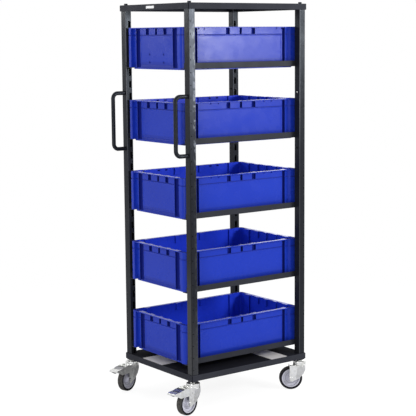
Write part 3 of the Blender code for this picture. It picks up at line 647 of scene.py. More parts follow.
def inner_depth(side, along, height, notches):
    """How far a bin's inner face stands back from its outline; notches don't reach it."""
    groove_in, groove_out = side["groove"]
    if along > groove_out + INNER_MARGIN:
        return INNER_CORNER_DEPTH
    in_gap = height > INNER_RIDGE_LOW and in_collar_gap(side, along, INNER_MARGIN)
    return INNER_RIDGE_DEPTH if along > groove_in - INNER_MARGIN or in_gap else INNER_DEPTH


def bin_stations(side, notches):
    """Places along a side where its shape changes, each just before and just after."""
    groove_in, groove_out = side["groove"]
    marks = [side["column"], side["jamb"], groove_out, groove_in, side["field"], side["field"] - FIELD_SLOPE,
             groove_out + INNER_MARGIN, groove_in - INNER_MARGIN]
    for centre, half in side["gaps"]:
        marks += [centre + half, centre + half + INNER_MARGIN]
        if centre > half:
            marks += [centre - half, centre - half - INNER_MARGIN]
    for notch in notches:
        marks += [notch - NOTCH_HALF, notch + NOTCH_HALF]
    marks = sorted(set(marks))
    every = [-mark for mark in reversed(marks)] + marks
    return [(mark, lean) for mark in every for lean in (-JUST, JUST)]


def bin_ring(level, height, lean, depth, move_in=0.0):
    """One ring round a bin; depth is a number or a function of the side, the place along it and the height."""
    ring = []
    ends = depth(LONG_SIDE, LONG_SIDE["half"], height + lean, ()) if callable(depth) else depth
    ends += move_in
    radius = max(CORNER_RADIUS - ends, LEAST_RADIUS)
    for quarter in range(4):
        side, across = (SHORT_SIDE, LONG_SIDE) if quarter % 2 else (LONG_SIDE, SHORT_SIDE)
        notches = () if quarter % 2 else NOTCHES[level]
        out_way = Vector(((0, -1), (1, 0), (0, 1), (-1, 0))[quarter])
        along_way = Vector(((1, 0), (0, 1), (-1, 0), (0, -1))[quarter])
        for mark, side_lean in bin_stations(side, notches):
            back = depth
            if callable(depth):
                back = depth(side, abs(mark + side_lean), height + lean, notches)
            ring.append((along_way * mark + out_way * (across["half"] - back - move_in)).to_3d())
        centre = along_way * (side["half"] - ends - radius) + out_way * (across["half"] - ends - radius)
        for step in range(CORNER_STEPS + 1):
            angle = QUARTER * step / CORNER_STEPS
            ring.append((centre + (out_way * math.cos(angle) + along_way * math.sin(angle)) * radius).to_3d())
    for point in ring:
        point.z = height
    return ring


def bin_mesh(level):
    """The whole skin of a bin as one closed shell, from its underside round the rim to its floor."""
    field_rows = (FIELD_LOW, FIELD_LOW + FIELD_SLOPE, *FOOT_ROWS, FIELD_HIGH - FIELD_SLOPE, FIELD_HIGH)
    ledges = (LINE_BOTTOM, COLLAR_BOTTOM, UNDER_RIM - NOTCH_HEIGHT, UNDER_RIM)
    rows = [(0.0, 0.0, BASE_INSET + RIM_EDGE), (RIM_SOFT, 0.0, BASE_INSET + RIM_SOFT), (RIM_EDGE, 0.0, BASE_INSET),
            (BASE_TOP, 0.0, BASE_INSET), (BASE_TOP, JUST, outer_depth),
            *((height, 0.0, outer_depth) for height in field_rows),
            *((height, lean, outer_depth) for height in ledges for lean in (-JUST, JUST)),
            (BIN_TOP - RIM_EDGE, 0.0, outer_depth), (BIN_TOP - RIM_SOFT, 0.0, outer_depth, RIM_SOFT),
            (BIN_TOP, 0.0, outer_depth, RIM_EDGE), (BIN_TOP, 0.0, inner_depth, -RIM_EDGE),
            (BIN_TOP - RIM_SOFT, 0.0, inner_depth, -RIM_SOFT), (BIN_TOP - RIM_EDGE, 0.0, inner_depth),
            (INNER_RIDGE_LOW, JUST, inner_depth), (INNER_RIDGE_LOW, -JUST, inner_depth),
            (SHOULDER, 0.0, inner_depth), (SHOULDER, 0.0, WELL_INSET), (FLOOR_TOP, 0.0, WELL_INSET)]
    bm = bmesh.new()
    skin(bm, [bin_ring(level, *row) for row in rows])
    bmesh.ops.remove_doubles(bm, verts=bm.verts, dist=JUST * 10)
    bmesh.ops.dissolve_limit(bm, angle_limit=math.radians(0.5), verts=bm.verts, edges=bm.edges)
    return bm


def mark_bin(shell):
    """Mark a bin's inside for painted light, and on its outside the recesses, the line under the collar and the low
    edge for painted shade.
    """
    inside = []
    for face, value in values_of(shell, "recess"):
        back_x, back_y = LONG_SIDE["half"] - abs(face.center.x), SHORT_SIDE["half"] - abs(face.center.y)
        back = min(back_x, back_y)
        axis = 0 if back_x < back_y else 1
        outward = math.copysign(1.0, face.center[axis]) * face.normal[axis]
        floor = outward > 0.5 and NOTCH_DEPTH - GAP < back < GROOVE_DEPTH + GAP
        wall = abs(outward) < 0.5 and WALL_FROM < back < WALL_TO
        line = outward > 0.5 and LINE_BOTTOM < face.center.z < COLLAR_BOTTOM
        shadow = 0.0
        if outward > 0.5 and PANEL_DEPTH - GAP < back < INNER_DEPTH:
            dark, dim = FOOT_ROWS[axis:axis + 2]
            shadow = 0.5 if face.center.z < dark else 0.25 if face.center.z < dim else 0.0
        # Painted shade: full in the recesses, lighter on the line under the collar and low on the sides.
        value.value = 1.0 if floor or wall else 0.6 if line else shadow
        # Painted light on the inside faces and on the upward faces below the collar.
        inside.append(float(outward < -0.5 or face.normal.z > 0.5 and face.center.z < COLLAR_BOTTOM))
    for (_, value), amount in zip(values_of(shell, "inside"), inside):
        value.value = amount


def dimple_tree():
    """Flat lens-shaped dimples at the corners of a rectangle on each end of a bin."""
    tree, given = new_tree("bin_dimples", {"Spread": 0.1, "Rise": 0.032, "Height": 0.0447, "End": 0.2876,
                                           "Radius": 0.0046, "Bulge": 0.0007})
    grid = geo(tree, "MeshGrid", {"Size X": given["Rise"], "Size Y": given["Spread"],
                                  "Vertices X": 2, "Vertices Y": 2})
    upright = geo(tree, "Transform", {"Geometry": grid, "Rotation": (0.0, QUARTER, 0.0)})
    ball = geo(tree, "MeshUVSphere", {"Segments": 20, "Rings": 10, "Radius": given["Radius"]})
    share = shade(tree, "Math", {0: given["Bulge"], 1: given["Radius"]}, operation="DIVIDE")
    flat = shade(tree, "CombineXYZ", {"X": share, "Y": 1.0, "Z": 1.0})
    lens = geo(tree, "Transform", {"Geometry": ball, "Scale": flat})
    ends = []
    for way in (1.0, -1.0):
        end = shade(tree, "Math", {0: given["End"], 1: way}, operation="MULTIPLY")
        spot = shade(tree, "CombineXYZ", {"X": end, "Z": given["Height"]})
        ends.append(geo(tree, "Transform", {"Geometry": upright, "Translation": spot}))
    return close_tree(tree, repeated(tree, gather(tree, "JoinGeometry", 0, ends), lens), BLUE)


def make_bins():
    """Five stacking bins; the top one has dark dimples on its ends."""
    for level in range(1, LEVELS + 1):
        name = f"bin_{level}"
        raise_by = shift(0.0, 0.0, local_box(name)[0].z)
        shell = add_piece(f"bin_{level}_shell", bin_mesh(level), BLUE, smooth=15.0)
        mark_bin(shell)
        shell.data.transform(raise_by)
        round_edges(shell, 0.0004, angle=18.0)
        stand_for(shell, name, "bin_plastic", name)
        if level == 1:
            dimples = run_tree(blank_piece("bin_1_dimples", BLUE), dimple_tree(), {})
            # The dimples take the full dark tint of the painted shade.
            for _, value in values_of(dimples, "recess"):
                value.value = 1.0
            reshade(dimples)
            dimples.data.transform(raise_by)
            stand_for(dimples, name, "bin_plastic")


# Posts

POST_IN_X, POST_OUT_X = 0.270, 0.300
POST_IN_Y, POST_OUT_Y = 0.210, 0.2435
POST_MID = Vector(((POST_IN_X + POST_OUT_X) / 2, (POST_IN_Y + POST_OUT_Y) / 2, 0.0))
POST_SHEET, POST_PLATE, POST_BEND = 0.002, 0.005, 0.0028
POST_END_MARGIN = 0.017
SLOT_WIDTH, SLOT_LENGTH, SLOT_PITCH = 0.0115, 0.029, 0.050
SLOT_X, HOOK_X = 0.2802, 0.2815
NICK_X, NICK_ABOVE_SLOT, NICK_RADIUS = 0.2932, 0.0215, 0.0024
HOOK_TAB_HEIGHT = 0.008
STEM_HOLE = 0.0054
OVERSHOOT = 0.002
CROSS_DRILL = 0.032
FLAT_HALF_X, FLAT_HALF_Y = 0.0125, 0.0145


def rail_foot(level):
    """Height of the underside of a level's rails."""
    return local_box(f"rail_{level}_left")[0].z


def rail_head(level):
    """Height of the upper edge of a level's rails."""
    return local_box(f"rail_{level}_left")[1].z


def handle_bolt_height(end):
    """Height of a handle's upper or lower bolts."""
    low, high = local_box(f"handle_bolt_left_{end}")
    return (low.z + high.z) / 2


def rod(radius, low, high, sides, place):
    """A plain round shape, as cut_round takes it."""
    return [(radius, low), (radius, high)], sides, place


def prism_cutter(tree, flat, depth, place):
    """A closed prism along Y of a flat face drawn in the plane of X and Z, with its outer end at a place."""
    grown = geo(tree, "ExtrudeMesh", {"Mesh": flat, "Offset": (0.0, 0.0, 1.0), "Offset Scale": depth,
                                      "Individual": False})
    both = gather(tree, "JoinGeometry", 0, (grown, geo(tree, "FlipFaces", {"Mesh": flat})))
    closed = geo(tree, "MergeByDistance", {"Geometry": both, "Distance": 1e-6})
    return geo(tree, "Transform", {"Geometry": closed, "Rotation": (QUARTER, 0.0, 0.0), "Translation": place})


def perforation_tree():
    """Rows of slots and nicks cut out of a post at one pitch."""
    tree, given = new_tree("post_perforations", {
        "Count": 30, "Pitch": SLOT_PITCH, "Slot Width": SLOT_WIDTH, "Slot Length": SLOT_LENGTH,
        "Slot Corner": 0.0018, "Slot Place": ORIGIN, "Nick Radius": NICK_RADIUS, "Nick Place": ORIGIN,
        "Depth": 0.004})
    step = shade(tree, "CombineXYZ", {"Z": given["Pitch"]})
    line = geo(tree, "MeshLine", {"Count": given["Count"], "Offset": step}, mode="OFFSET")
    outline = geo(tree, "CurvePrimitiveQuadrilateral", {"Width": given["Slot Width"],
                                                        "Height": given["Slot Length"]})
    rounded = geo(tree, "FilletCurve", {"Curve": outline, "Count": 3, "Radius": given["Slot Corner"]}, mode="POLY")
    slot = geo(tree, "FillCurve", {"Curve": rounded}, mode="NGONS")
    nick = geo(tree, "MeshCircle", {"Vertices": 14, "Radius": given["Nick Radius"]}, fill_type="NGON")
    rows = [repeated(tree, line, prism_cutter(tree, face, given["Depth"], given[place]))
            for face, place in ((slot, "Slot Place"), (nick, "Nick Place"))]
    carved = gather(tree, "MeshBoolean", 1, rows, {"Mesh 1": given["Geometry"]},
                    operation="DIFFERENCE", solver="EXACT")
    return close_tree(tree, geo(tree, "RealizeInstances", {"Geometry": carved}), TUBE_COAT)


def make_posts():
    """Four slotted tubes with rounded edges and a plate in each end, drilled across for a handle."""
    low, high = local_box("post_front_left")
    bm = bmesh.new()
    half_x, half_y = (POST_OUT_X - POST_IN_X) / 2, (POST_OUT_Y - POST_IN_Y) / 2
    tubes = []
    for inset in (0.0, POST_SHEET):
        ring = rounded_rectangle(half_x - inset, half_y - inset, POST_BEND - inset, 0.0)
        outline = [(POST_MID.x + point.x, POST_MID.y + point.y) for point in ring]
        tubes.append(extrude_outline(bm, outline, low.z, high.z, axis=2, cap=False))
    for outer, inner in zip(*tubes):
        for k in range(len(outer)):
            j = (k + 1) % len(outer)
            bm.faces.new((outer[k], outer[j], inner[j], inner[k]))
    template = add_piece("post_template", bm, TUBE_COAT)
    plates = bmesh.new()
    overlap = POST_SHEET / 2
    for start in (low.z, high.z - POST_PLATE):
        box(plates, (POST_IN_X + overlap, POST_IN_Y + overlap, start + JUST),
            (POST_OUT_X - overlap, POST_OUT_Y - overlap, start + POST_PLATE - JUST))
    cut(template, plates, "UNION")
    there = Matrix.Translation(POST_MID)
    across = [shift(POST_IN_X, POST_MID.y, handle_bolt_height(end)) @ spin(QUARTER, "Y")
              for end in ("upper", "lower")]
    cut_round(template, rod(STEM_HOLE, low.z - OVERSHOOT, low.z + POST_PLATE + OVERSHOOT, 24, there),
              rod(BOLT_HOLE, high.z - POST_PLATE - OVERSHOOT, high.z + OVERSHOOT, 24, there),
              *(rod(BOLT_HOLE, -OVERSHOOT, CROSS_DRILL, 20, place) for place in across))
    anchor = rail_head(LEVELS) - HOOK_TAB_HEIGHT - GAP
    first = math.ceil((low.z + POST_END_MARGIN - anchor) / SLOT_PITCH)
    last = math.floor((high.z - POST_END_MARGIN - SLOT_LENGTH - anchor) / SLOT_PITCH)
    bottom = anchor + first * SLOT_PITCH
    run_tree(template, perforation_tree(), {
        "Count": last - first + 1,
        "Slot Place": (SLOT_X, POST_IN_Y + 0.003, bottom + SLOT_LENGTH / 2),
        "Nick Place": (NICK_X, POST_OUT_Y + 0.001, bottom + NICK_ABOVE_SLOT)})
    reshade(template)
    # Mark the tube's bends for the painted highlight.
    for face, value in values_of(template, "bend"):
        away = face.center - POST_MID
        value.value = float(abs(face.normal.z) < 0.1 and abs(away.x) > FLAT_HALF_X and abs(away.y) > FLAT_HALF_Y)
    for corner, (sx, sy) in CORNERS.items():
        post = copy_of(template, f"post_{corner}_tube", Matrix.Diagonal((sx, sy, 1, 1)))
        stand_for(post, "rack", "frame_paint", "post_" + corner)
    discard(template)


# Shelves

SHELF_SHEET, SHELF_HEM, SHELF_CORNER, SHELF_BEND = 0.002, 0.0043, 0.0045, 0.0022
SEAM_WIDTH, SEAM_DEPTH, SEAM_INSET = 0.0024, 0.0026, 0.0013


def shelf_mesh(low, high):
    """A folded tray open below, with a bent upper edge and a rolled hem, as one closed shell."""
    soft, softer = 0.001, 0.001 * 0.3
    rows = [(SHELF_HEM, high.z - SHELF_SHEET), (SHELF_HEM, low.z + soft), (SHELF_HEM - softer, low.z + softer),
            (SHELF_HEM - soft, low.z), (soft, low.z), (softer, low.z + softer), (0.0, low.z + soft)]
    for step in range(FINE_STEPS + 1):
        angle = QUARTER * step / FINE_STEPS
        rows.append((SHELF_BEND * (1 - math.cos(angle)), high.z - SHELF_BEND * (1 - math.sin(angle))))
    bm = bmesh.new()
    skin(bm, [rounded_rectangle(high.x - inset, high.y - inset, max(SHELF_CORNER - inset, 0.0009), height)
              for inset, height in rows])
    return bm


def make_shelves():
    """The top shelf over the posts and the bottom shelf that the posts pass through."""
    for name in ("top_shelf", "bottom_shelf"):
        low, high = local_box(name)
        shelf = add_piece(name + "_tray", shelf_mesh(low, high), SHELF_COAT)
        openings, seams = bmesh.new(), bmesh.new()
        for sx, sy in CORNERS.values():
            if name == "top_shelf":
                turned(openings, [(BOLT_HOLE, low.z), (BOLT_HOLE, high.z + OVERSHOOT)], 24,
                       matrix=shift(sx * POST_MID.x, sy * POST_MID.y, 0.0))
            else:
                box(openings, (sx * (POST_IN_X - GAP), sy * (POST_IN_Y - GAP), low.z + 0.004),
                    (sx * (POST_OUT_X + GAP), sy * (POST_OUT_Y + GAP), high.z + OVERSHOOT))
            box(seams, (-SEAM_DEPTH, -SEAM_WIDTH / 2, low.z - 0.001), (SEAM_DEPTH, SEAM_WIDTH / 2, high.z - SHELF_BEND))
            seams.verts.ensure_lookup_table()
            place = shift(sx * (high.x - SEAM_INSET), sy * (high.y - SEAM_INSET), 0.0)
            bmesh.ops.transform(seams, matrix=place @ spin(math.atan2(sy, sx), "Z"), verts=seams.verts[-8:])
        cut(shelf, openings)
        cut(shelf, seams)
        # Mark the top faces and the walls of the corner seams for painted shade.
        corner = Vector((high.x - SHELF_CORNER, high.y - SHELF_CORNER))
        for face, value in values_of(shelf, "load_face"):
            reach = Vector((abs(face.center.x), abs(face.center.y))) - corner
            seam = min(reach) > 0 and reach.length < SHELF_CORNER - GAP and abs(face.normal.z) < 0.5
            value.value = float(seam or face.normal.z > 0.95)
        stand_for(shelf, "rack", "frame_paint", name)


# Rails

RAIL_SHEET, RAIL_BEND, RAIL_HALF = 0.002, 0.0026, 0.2995
RAIL_BACK, RAIL_TIP = 0.2097, 0.182
HOOK_WIDTH, HOOK_DROP = 0.007, 0.008


def hook_tree():
    """A rail with a hook joined on at each of its two posts."""
    tree, given = new_tree("rail_hooks", {"Hook": None, "Count": 2, "Start": ORIGIN, "Spacing": ORIGIN})
    line = geo(tree, "MeshLine", {"Count": given["Count"], "Start Location": given["Start"],
                                  "Offset": given["Spacing"]}, mode="OFFSET")
    parts = (given["Geometry"], repeated(tree, line, given["Hook"]))
    joined = gather(tree, "MeshBoolean", 1, parts, operation="UNION", solver="EXACT")
    return close_tree(tree, geo(tree, "RealizeInstances", {"Geometry": joined}), COAT)


def make_rails():
    """Ten bent L rails that hang by their hooks in the posts' slots."""
    foot, head = rail_foot(LEVELS), rail_head(LEVELS)
    path = rounded_path([(RAIL_TIP, foot), (RAIL_BACK, foot), (RAIL_BACK, head)], RAIL_BEND)
    angle = pushed(sheet_outline(path, RAIL_SHEET), -RAIL_HALF, RAIL_HALF, axis=0)
    template = add_piece("rail_template", angle, COAT)
    inner, reach = RAIL_BACK - RAIL_SHEET / 2, POST_IN_Y + POST_SHEET + GAP
    tab_low, tab_high = head - HOOK_TAB_HEIGHT, head - JUST * 100
    outline = rounded_path([(inner, tab_low), (reach, tab_low), (reach, tab_low - HOOK_DROP),
                            (reach + RAIL_SHEET, tab_low - HOOK_DROP), (reach + RAIL_SHEET, tab_high),
                            (inner, tab_high)], [0.0, 0.0, 0.0005, 0.0005, 0.0015, 0.0], closed=True)
    hook = add_piece("hook_template", pushed(outline, -HOOK_WIDTH / 2, HOOK_WIDTH / 2, axis=0), COAT)
    run_tree(template, hook_tree(), {"Hook": hook, "Start": (-HOOK_X, 0.0, 0.0), "Spacing": (2 * HOOK_X, 0.0, 0.0)})
    reshade(template)
    for level in range(1, LEVELS + 1):
        up = shift(0.0, 0.0, rail_foot(level) - foot)
        for side, sy in SIDES.items():
            rail = copy_of(template, f"rail_{level}_{side}_angle", up @ Matrix.Diagonal((1, sy, 1, 1)))
            stand_for(rail, "rack", "frame_paint", f"rail_{level}_{side}")
    discard(template, hook)


# Handles and bolts

HANDLE_RADIUS, HANDLE_BEND, HANDLE_SIDES, HANDLE_DRILL = 0.0085, 0.022, 28, 0.016
COS_30 = math.cos(math.pi / 6)


def make_handles():
    """Two U-shaped round bars whose arms butt on the rear posts."""
    for side, sy in SIDES.items():
        low, high = local_box("handle_" + side)
        lower, upper = low.z + HANDLE_RADIUS, high.z - HANDLE_RADIUS
        start, bar = -POST_OUT_X - GAP, low.x + HANDLE_RADIUS
        path = rounded_path([(start, lower), (bar, lower), (bar, upper), (start, upper)], HANDLE_BEND, steps=10)
        rings = []
        for k, point in enumerate(path):
            way = (path[min(k + 1, len(path) - 1)] - path[max(k - 1, 0)]).normalized()
            across = Vector((-way.y, way.x))
            ring = []
            for step in range(HANDLE_SIDES):
                angle = math.tau * step / HANDLE_SIDES
                spot = point + across * HANDLE_RADIUS * math.cos(angle)
                ring.append(Vector((spot.x, sy * POST_MID.y + HANDLE_RADIUS * math.sin(angle), spot.y)))
            rings.append(ring)
        bm = bmesh.new()
        skin(bm, rings)
        handle = add_piece(f"handle_{side}_bar", bm, TUBE_COAT)
        cut_round(handle, *(rod(BOLT_HOLE, -OVERSHOOT, HANDLE_DRILL, 20,
                                shift(start, sy * POST_MID.y, height) @ spin(-QUARTER, "Y"))
                            for height in (lower, upper)))
        stand_for(handle, "rack", "frame_paint", "handle_" + side)


def corner_tree(name, material):
    """The same piece at the four corners of a rectangle, which may be turned and moved."""
    tree, given = new_tree(name, {"Piece": None, "Length": 0.57, "Width": 0.4535, "Turn": ORIGIN, "Centre": ORIGIN})
    grid = geo(tree, "MeshGrid", {"Size X": given["Length"], "Size Y": given["Width"],
                                  "Vertices X": 2, "Vertices Y": 2})
    placed = geo(tree, "Transform", {"Geometry": grid, "Rotation": given["Turn"], "Translation": given["Centre"]})
    return close_tree(tree, repeated(tree, placed, given["Piece"]), material)


def bolts_at_corners(name, profile, place, material, slot, sizes, nodes):
    """Four hexagon bolts of one profile as one piece, which stands for their CAD nodes."""
    bolt = add_piece(name + "_template", turned(bmesh.new(), profile, 48, matrix=place), material, smooth=28.0)
    bolts = run_tree(blank_piece(name, material), corner_tree(name + "_corners", material), {"Piece": bolt, **sizes})
    reshade(bolts, 28.0)
    stand_for(bolts, "rack", slot, *nodes)
    discard(bolt)


def make_top_bolts():
    """Four hexagon bolts through the top shelf, with chamfered heads."""
    low, high = local_box("top_bolt_front_left")
    seat = local_box("top_shelf")[1].z + GAP
    flats = (high.y - low.y) / 2 * COS_30
    point = flats / COS_30
    profile = [(0.0035, low.z), (0.004, low.z + 0.0005), (0.004, seat), (hexagon(flats * 0.97), seat),
               (hexagon(flats), seat + 0.0003), (hexagon(flats, point * 0.995), high.z - 0.0013),
               (hexagon(flats, point * 0.955), high.z - 0.0005), (flats * 0.93, high.z), (flats * 0.45, high.z),
               (flats * 0.40, high.z - 0.0003)]
    bolts_at_corners("top_shelf_bolts", profile, None, COAT, "frame_paint",
                     {"Length": 2 * POST_MID.x, "Width": 2 * POST_MID.y},
                     ["top_bolt_" + corner for corner in CORNERS])


def bolt_head(seat, top, washer, rise, chamfer, recess):
    """Profile of a small hexagon head, from the edge of its washer face to the recess in its top."""
    flats = 0.0075 * COS_30
    return [(washer, seat), (washer, seat + rise), (hexagon(flats), seat + rise + 0.0001),
            (hexagon(flats, 0.0074), top - chamfer), (hexagon(flats, 0.0069), top - 0.0002), (0.0056, top),
            (recess, top), (recess - 0.0002, top - 0.0003)]


def make_handle_bolts():
    """Four hexagon bolts across the rear posts into the handles' arms."""
    low, high = local_box("handle_bolt_left_upper")
    lower, upper = handle_bolt_height("lower"), handle_bolt_height("upper")
    seat = high.x - 0.005
    profile = [(0.0034, low.x), (0.004, low.x + 0.0006), (0.004, seat),
               *bolt_head(seat, high.x, 0.0073, 0.0006, 0.0010, 0.0030)]
    bolts_at_corners("handle_bolts", profile, spin(QUARTER, "Y"), ZINC, "zinc",
                     {"Length": upper - lower, "Width": 2 * POST_MID.y, "Turn": (0.0, QUARTER, 0.0),
                      "Centre": (0.0, 0.0, (upper + lower) / 2)},
                     [f"handle_bolt_{side}_{end}" for side in SIDES for end in ("upper", "lower")])


# Casters, laid out round their swivel axis with the wheel trailing towards -X

WHEEL_RADIUS, TRAIL = 0.050, 0.038
CROWN_BOTTOM, CROWN_TOP, CROWN_RADIUS = 0.105, 0.109, 0.0275
LEG_INNER, LEG_OUTER, LEG_LOW, LEG_BEND = 0.017, 0.0195, 0.030, 0.0042
SADDLE_BACK, SADDLE_FRONT, FOLD_RELIEF = -0.050, 0.030, 0.0004
KINGPIN_HOLE, AXLE_HOLE, THROUGH = 0.0065, 0.0054, 0.03
WHEEL_SHADE_RINGS = ((0.0222, 0.0241), (0.0337, 0.0345))
DUST_FROM, DUST_FADE = 0.0462, 0.0034
PIVOT_BACK, PIVOT_HEIGHT, PIN_RADIUS = 0.026, 0.092, 0.003
PEDAL_INNER, PEDAL_OUTER, PEDAL_SHEET, PEDAL_TIP = 0.020, 0.022, 0.002, 0.130
TREAD_GROOVES, GROOVE_HALF, GROOVE_REACH = (0.103, 0.1105, 0.118), 0.0011, 0.0165
BRAKED = ("rear_left", "rear_right")
AXLE_PLACE = shift(-TRAIL, 0.0, WHEEL_RADIUS) @ spin(QUARTER, "X")


def mm(*points):
    """Points given in millimetres."""
    return [tuple(value / 1000 for value in point) for point in points]


def caster_place(corner):
    """Where a caster's swivel axis stands and how far it is turned at rest."""
    sx, sy = CORNERS[corner]
    low, high = local_box("tyre_" + corner)
    wheel = (low + high) / 2
    away = Vector((sx * POST_MID.x - wheel.x, sy * POST_MID.y - wheel.y))
    return shift(sx * POST_MID.x, sy * POST_MID.y, 0.0) @ spin(math.atan2(away.y, away.x), "Z")


def mount_template():
    """Stem, hexagon collar with its washer, ball race with a rolled edge, and the kingpin's head."""
    flats = 0.0120 * COS_30
    race = mm((8.5, 101.7), (9.7, 102.2), (10.0, 103.0), (10.0, 104.2), (9.5, 104.7), (6.0, 104.7), (6.0, 109.3),
              (26.8, 109.3), (27.6, 109.6), (28.0, 110.2), (28.0, 112.8), (27.6, 113.4), (26.9, 113.8),
              (26.9, 114.6), (27.6, 115.0), (28.0, 115.6), (28.0, 124.0), (27.6, 125.1), (26.6, 125.9),
              (25.0, 126.3), (16.0, 126.3), (15.5, 125.8))
    collar = [(hexagon(flats * 0.96), 0.1258), (hexagon(flats), 0.1260), (hexagon(flats, 0.0119), 0.1284),
              (hexagon(flats, 0.0112), 0.1296)]
    stem = mm((9.8, 130.0), (4.6, 130.0), (5.0, 130.6), (5.0, 147.4), (4.4, 148.0))
    return add_piece("mount_template", turned(bmesh.new(), race + collar + stem, 72), ZINC, smooth=30.0)


def fork_template(braked):
    """A pressed fork: a bent saddle over the wheel, cut to the outline of its legs, under a round crown."""
    path = rounded_path([(-LEG_OUTER, LEG_LOW), (-LEG_OUTER, CROWN_TOP), (LEG_OUTER, CROWN_TOP),
                         (LEG_OUTER, LEG_LOW)], LEG_BEND)
    inside = rounded_path([(LEG_INNER, LEG_LOW), (LEG_INNER, CROWN_BOTTOM), (-LEG_INNER, CROWN_BOTTOM),
                           (-LEG_INNER, LEG_LOW)], LEG_BEND - (LEG_OUTER - LEG_INNER))
    fork = add_piece(f"fork_template_{braked}", pushed(path + inside, SADDLE_BACK, SADDLE_FRONT, axis=0), ZINC)
    back = -TRAIL - 0.007
    outline = [(0.0247, CROWN_TOP + 0.001), (back, CROWN_TOP + 0.001), (back, 0.0453), (-TRAIL - 0.0035, 0.036),
               (-TRAIL + 0.007, 0.036), (-0.0031, 0.050), (0.0063, 0.060), (0.0153, 0.070), (0.0235, 0.0875)]
    radii = [0.0, 0.004, 0.004, 0.0055, 0.006, 0.008, 0.008, 0.008, 0.012]
    cut(fork, pushed(rounded_path(outline, radii, closed=True), -THROUGH, THROUGH), "INTERSECT")
    crown = [(CROWN_RADIUS - 0.0009, CROWN_BOTTOM), (CROWN_RADIUS, CROWN_BOTTOM + 0.0008),
             (CROWN_RADIUS, CROWN_TOP - 0.0012), (CROWN_RADIUS - 0.0012, CROWN_TOP)]
    cut_round(fork, (crown, 72, None), operation="UNION")
    fold = rounded_path(mm((-9.0, 104.0), (21.5, 104.0), (22.2, 88.0), (14.3, 71.4), (5.3, 61.2), (-4.0, 51.4),
                           (-16.0, 47.0), (-13.5, 74.0)), 0.003, steps=3, closed=True)
    for sy in (-1, 1):
        cut(fork, pushed(fold, sy * (LEG_OUTER - FOLD_RELIEF), sy * (LEG_OUTER + FOLD_RELIEF)), "UNION")
    cut_round(fork, rod(KINGPIN_HOLE, CROWN_BOTTOM - 0.004, CROWN_TOP + 0.004, 32, None),
              rod(AXLE_HOLE, -THROUGH, THROUGH, 32, AXLE_PLACE))
    if braked:
        pin = [(PIN_RADIUS, 0.0182), (PIN_RADIUS, 0.0224), (PIN_RADIUS * 0.8, 0.0231)]
        pivot = shift(-PIVOT_BACK, 0.0, PIVOT_HEIGHT)
        cut_round(fork, *((pin, 24, pivot @ spin(-sy * QUARTER, "X")) for sy in (-1, 1)), operation="UNION")
    # Mark the legs for the dark tint: the cut edges, partly bare sheared sheet and partly painted shade, and the
    # pressed fold more lightly, painted shade.
    for face, value in values_of(fork, "dull"):
        if face.center.z < CROWN_BOTTOM and axle_distance(face.center) > AXLE_HOLE + 0.0002:
            proud = abs(abs(face.center.y) - LEG_OUTER - FOLD_RELIEF) < 0.0002
            value.value = 0.9 if abs(face.normal.y) < 0.5 else 0.33 if proud else 0.0
    round_edges(fork, 0.0002)
    return fork


def axle_distance(point):
    """How far a point lies from the axle's line."""
    return Vector((point.x + TRAIL, point.z - WHEEL_RADIUS)).length


def axle_template():
    """An axle bolt with a hexagon head at one end and a nut at the other."""
    inside = LEG_OUTER + GAP
    half = [(0.005, inside), *bolt_head(inside, inside + 0.004, 0.0072, 0.0007, 0.0009, 0.0042)]
    return add_piece("axle_template", turned(bmesh.new(), both_ways(half), 48, matrix=AXLE_PLACE), ZINC, smooth=30.0)


def wheel_template():
    """A moulded wheel centre: hub, webbed disc with a bead, and a rim with a rounded lip."""
    half = mm((5.6, 16.5), (12.2, 16.5), (13.0, 15.7), (13.4, 6.2), (15.0, 4.2), (21.5, 4.0), (22.3, 4.7),
              (24.0, 4.7), (24.8, 4.0), (30.8, 4.2), (33.0, 5.6), (33.8, 11.2), (34.4, 11.9), (35.2, 12.0),
              (39.4, 12.0), (40.0, 11.4))
    bm = turned(bmesh.new(), both_ways(half, closed=True), 72, closed=True, matrix=AXLE_PLACE)
    wheel = add_piece("wheel_template", bm, NYLON, smooth=40.0)
    # Mark two rings on the disc for painted shade.
    for vertex, value in values_of(wheel, "ring", "POINT"):
        reach = axle_distance(vertex.co)
        value.value = float(any(low < reach < high for low, high in WHEEL_SHADE_RINGS))
    return wheel


def spoke_tree():
    """Low radial ribs on both faces of a wheel's disc."""
    tree, given = new_tree("wheel_ribs", {"Rib": None, "Count": 10, "Ring": 0.0188})
    circle = geo(tree, "MeshCircle", {"Vertices": given["Count"], "Radius": given["Ring"]})
    step = shade(tree, "Math", {0: math.tau, 1: given["Count"]}, operation="DIVIDE")
    angle = shade(tree, "Math", {0: geo(tree, "InputIndex"), 1: step}, operation="MULTIPLY")
    turn = shade(tree, "CombineXYZ", {"Z": angle})
    return close_tree(tree, repeated(tree, circle, given["Rib"], {"Rotation": turn}), NYLON)


def ribs_template():
    """Ten ribs between hub and bead, standing on both faces of the disc."""
    path = rounded_path(mm((-6.2, 5.6), (-6.2, -5.6), (3.4, -4.8), (3.4, 4.8)), 0.0004, steps=2, closed=True)
    rib = add_piece("rib_template", pushed(path, -0.0008, 0.0008), NYLON)
    ribs = run_tree(blank_piece("ribs_template", NYLON), spoke_tree(), {"Rib": rib})
    discard(rib)
    ribs.data.transform(AXLE_PLACE)
    return reshade(ribs)


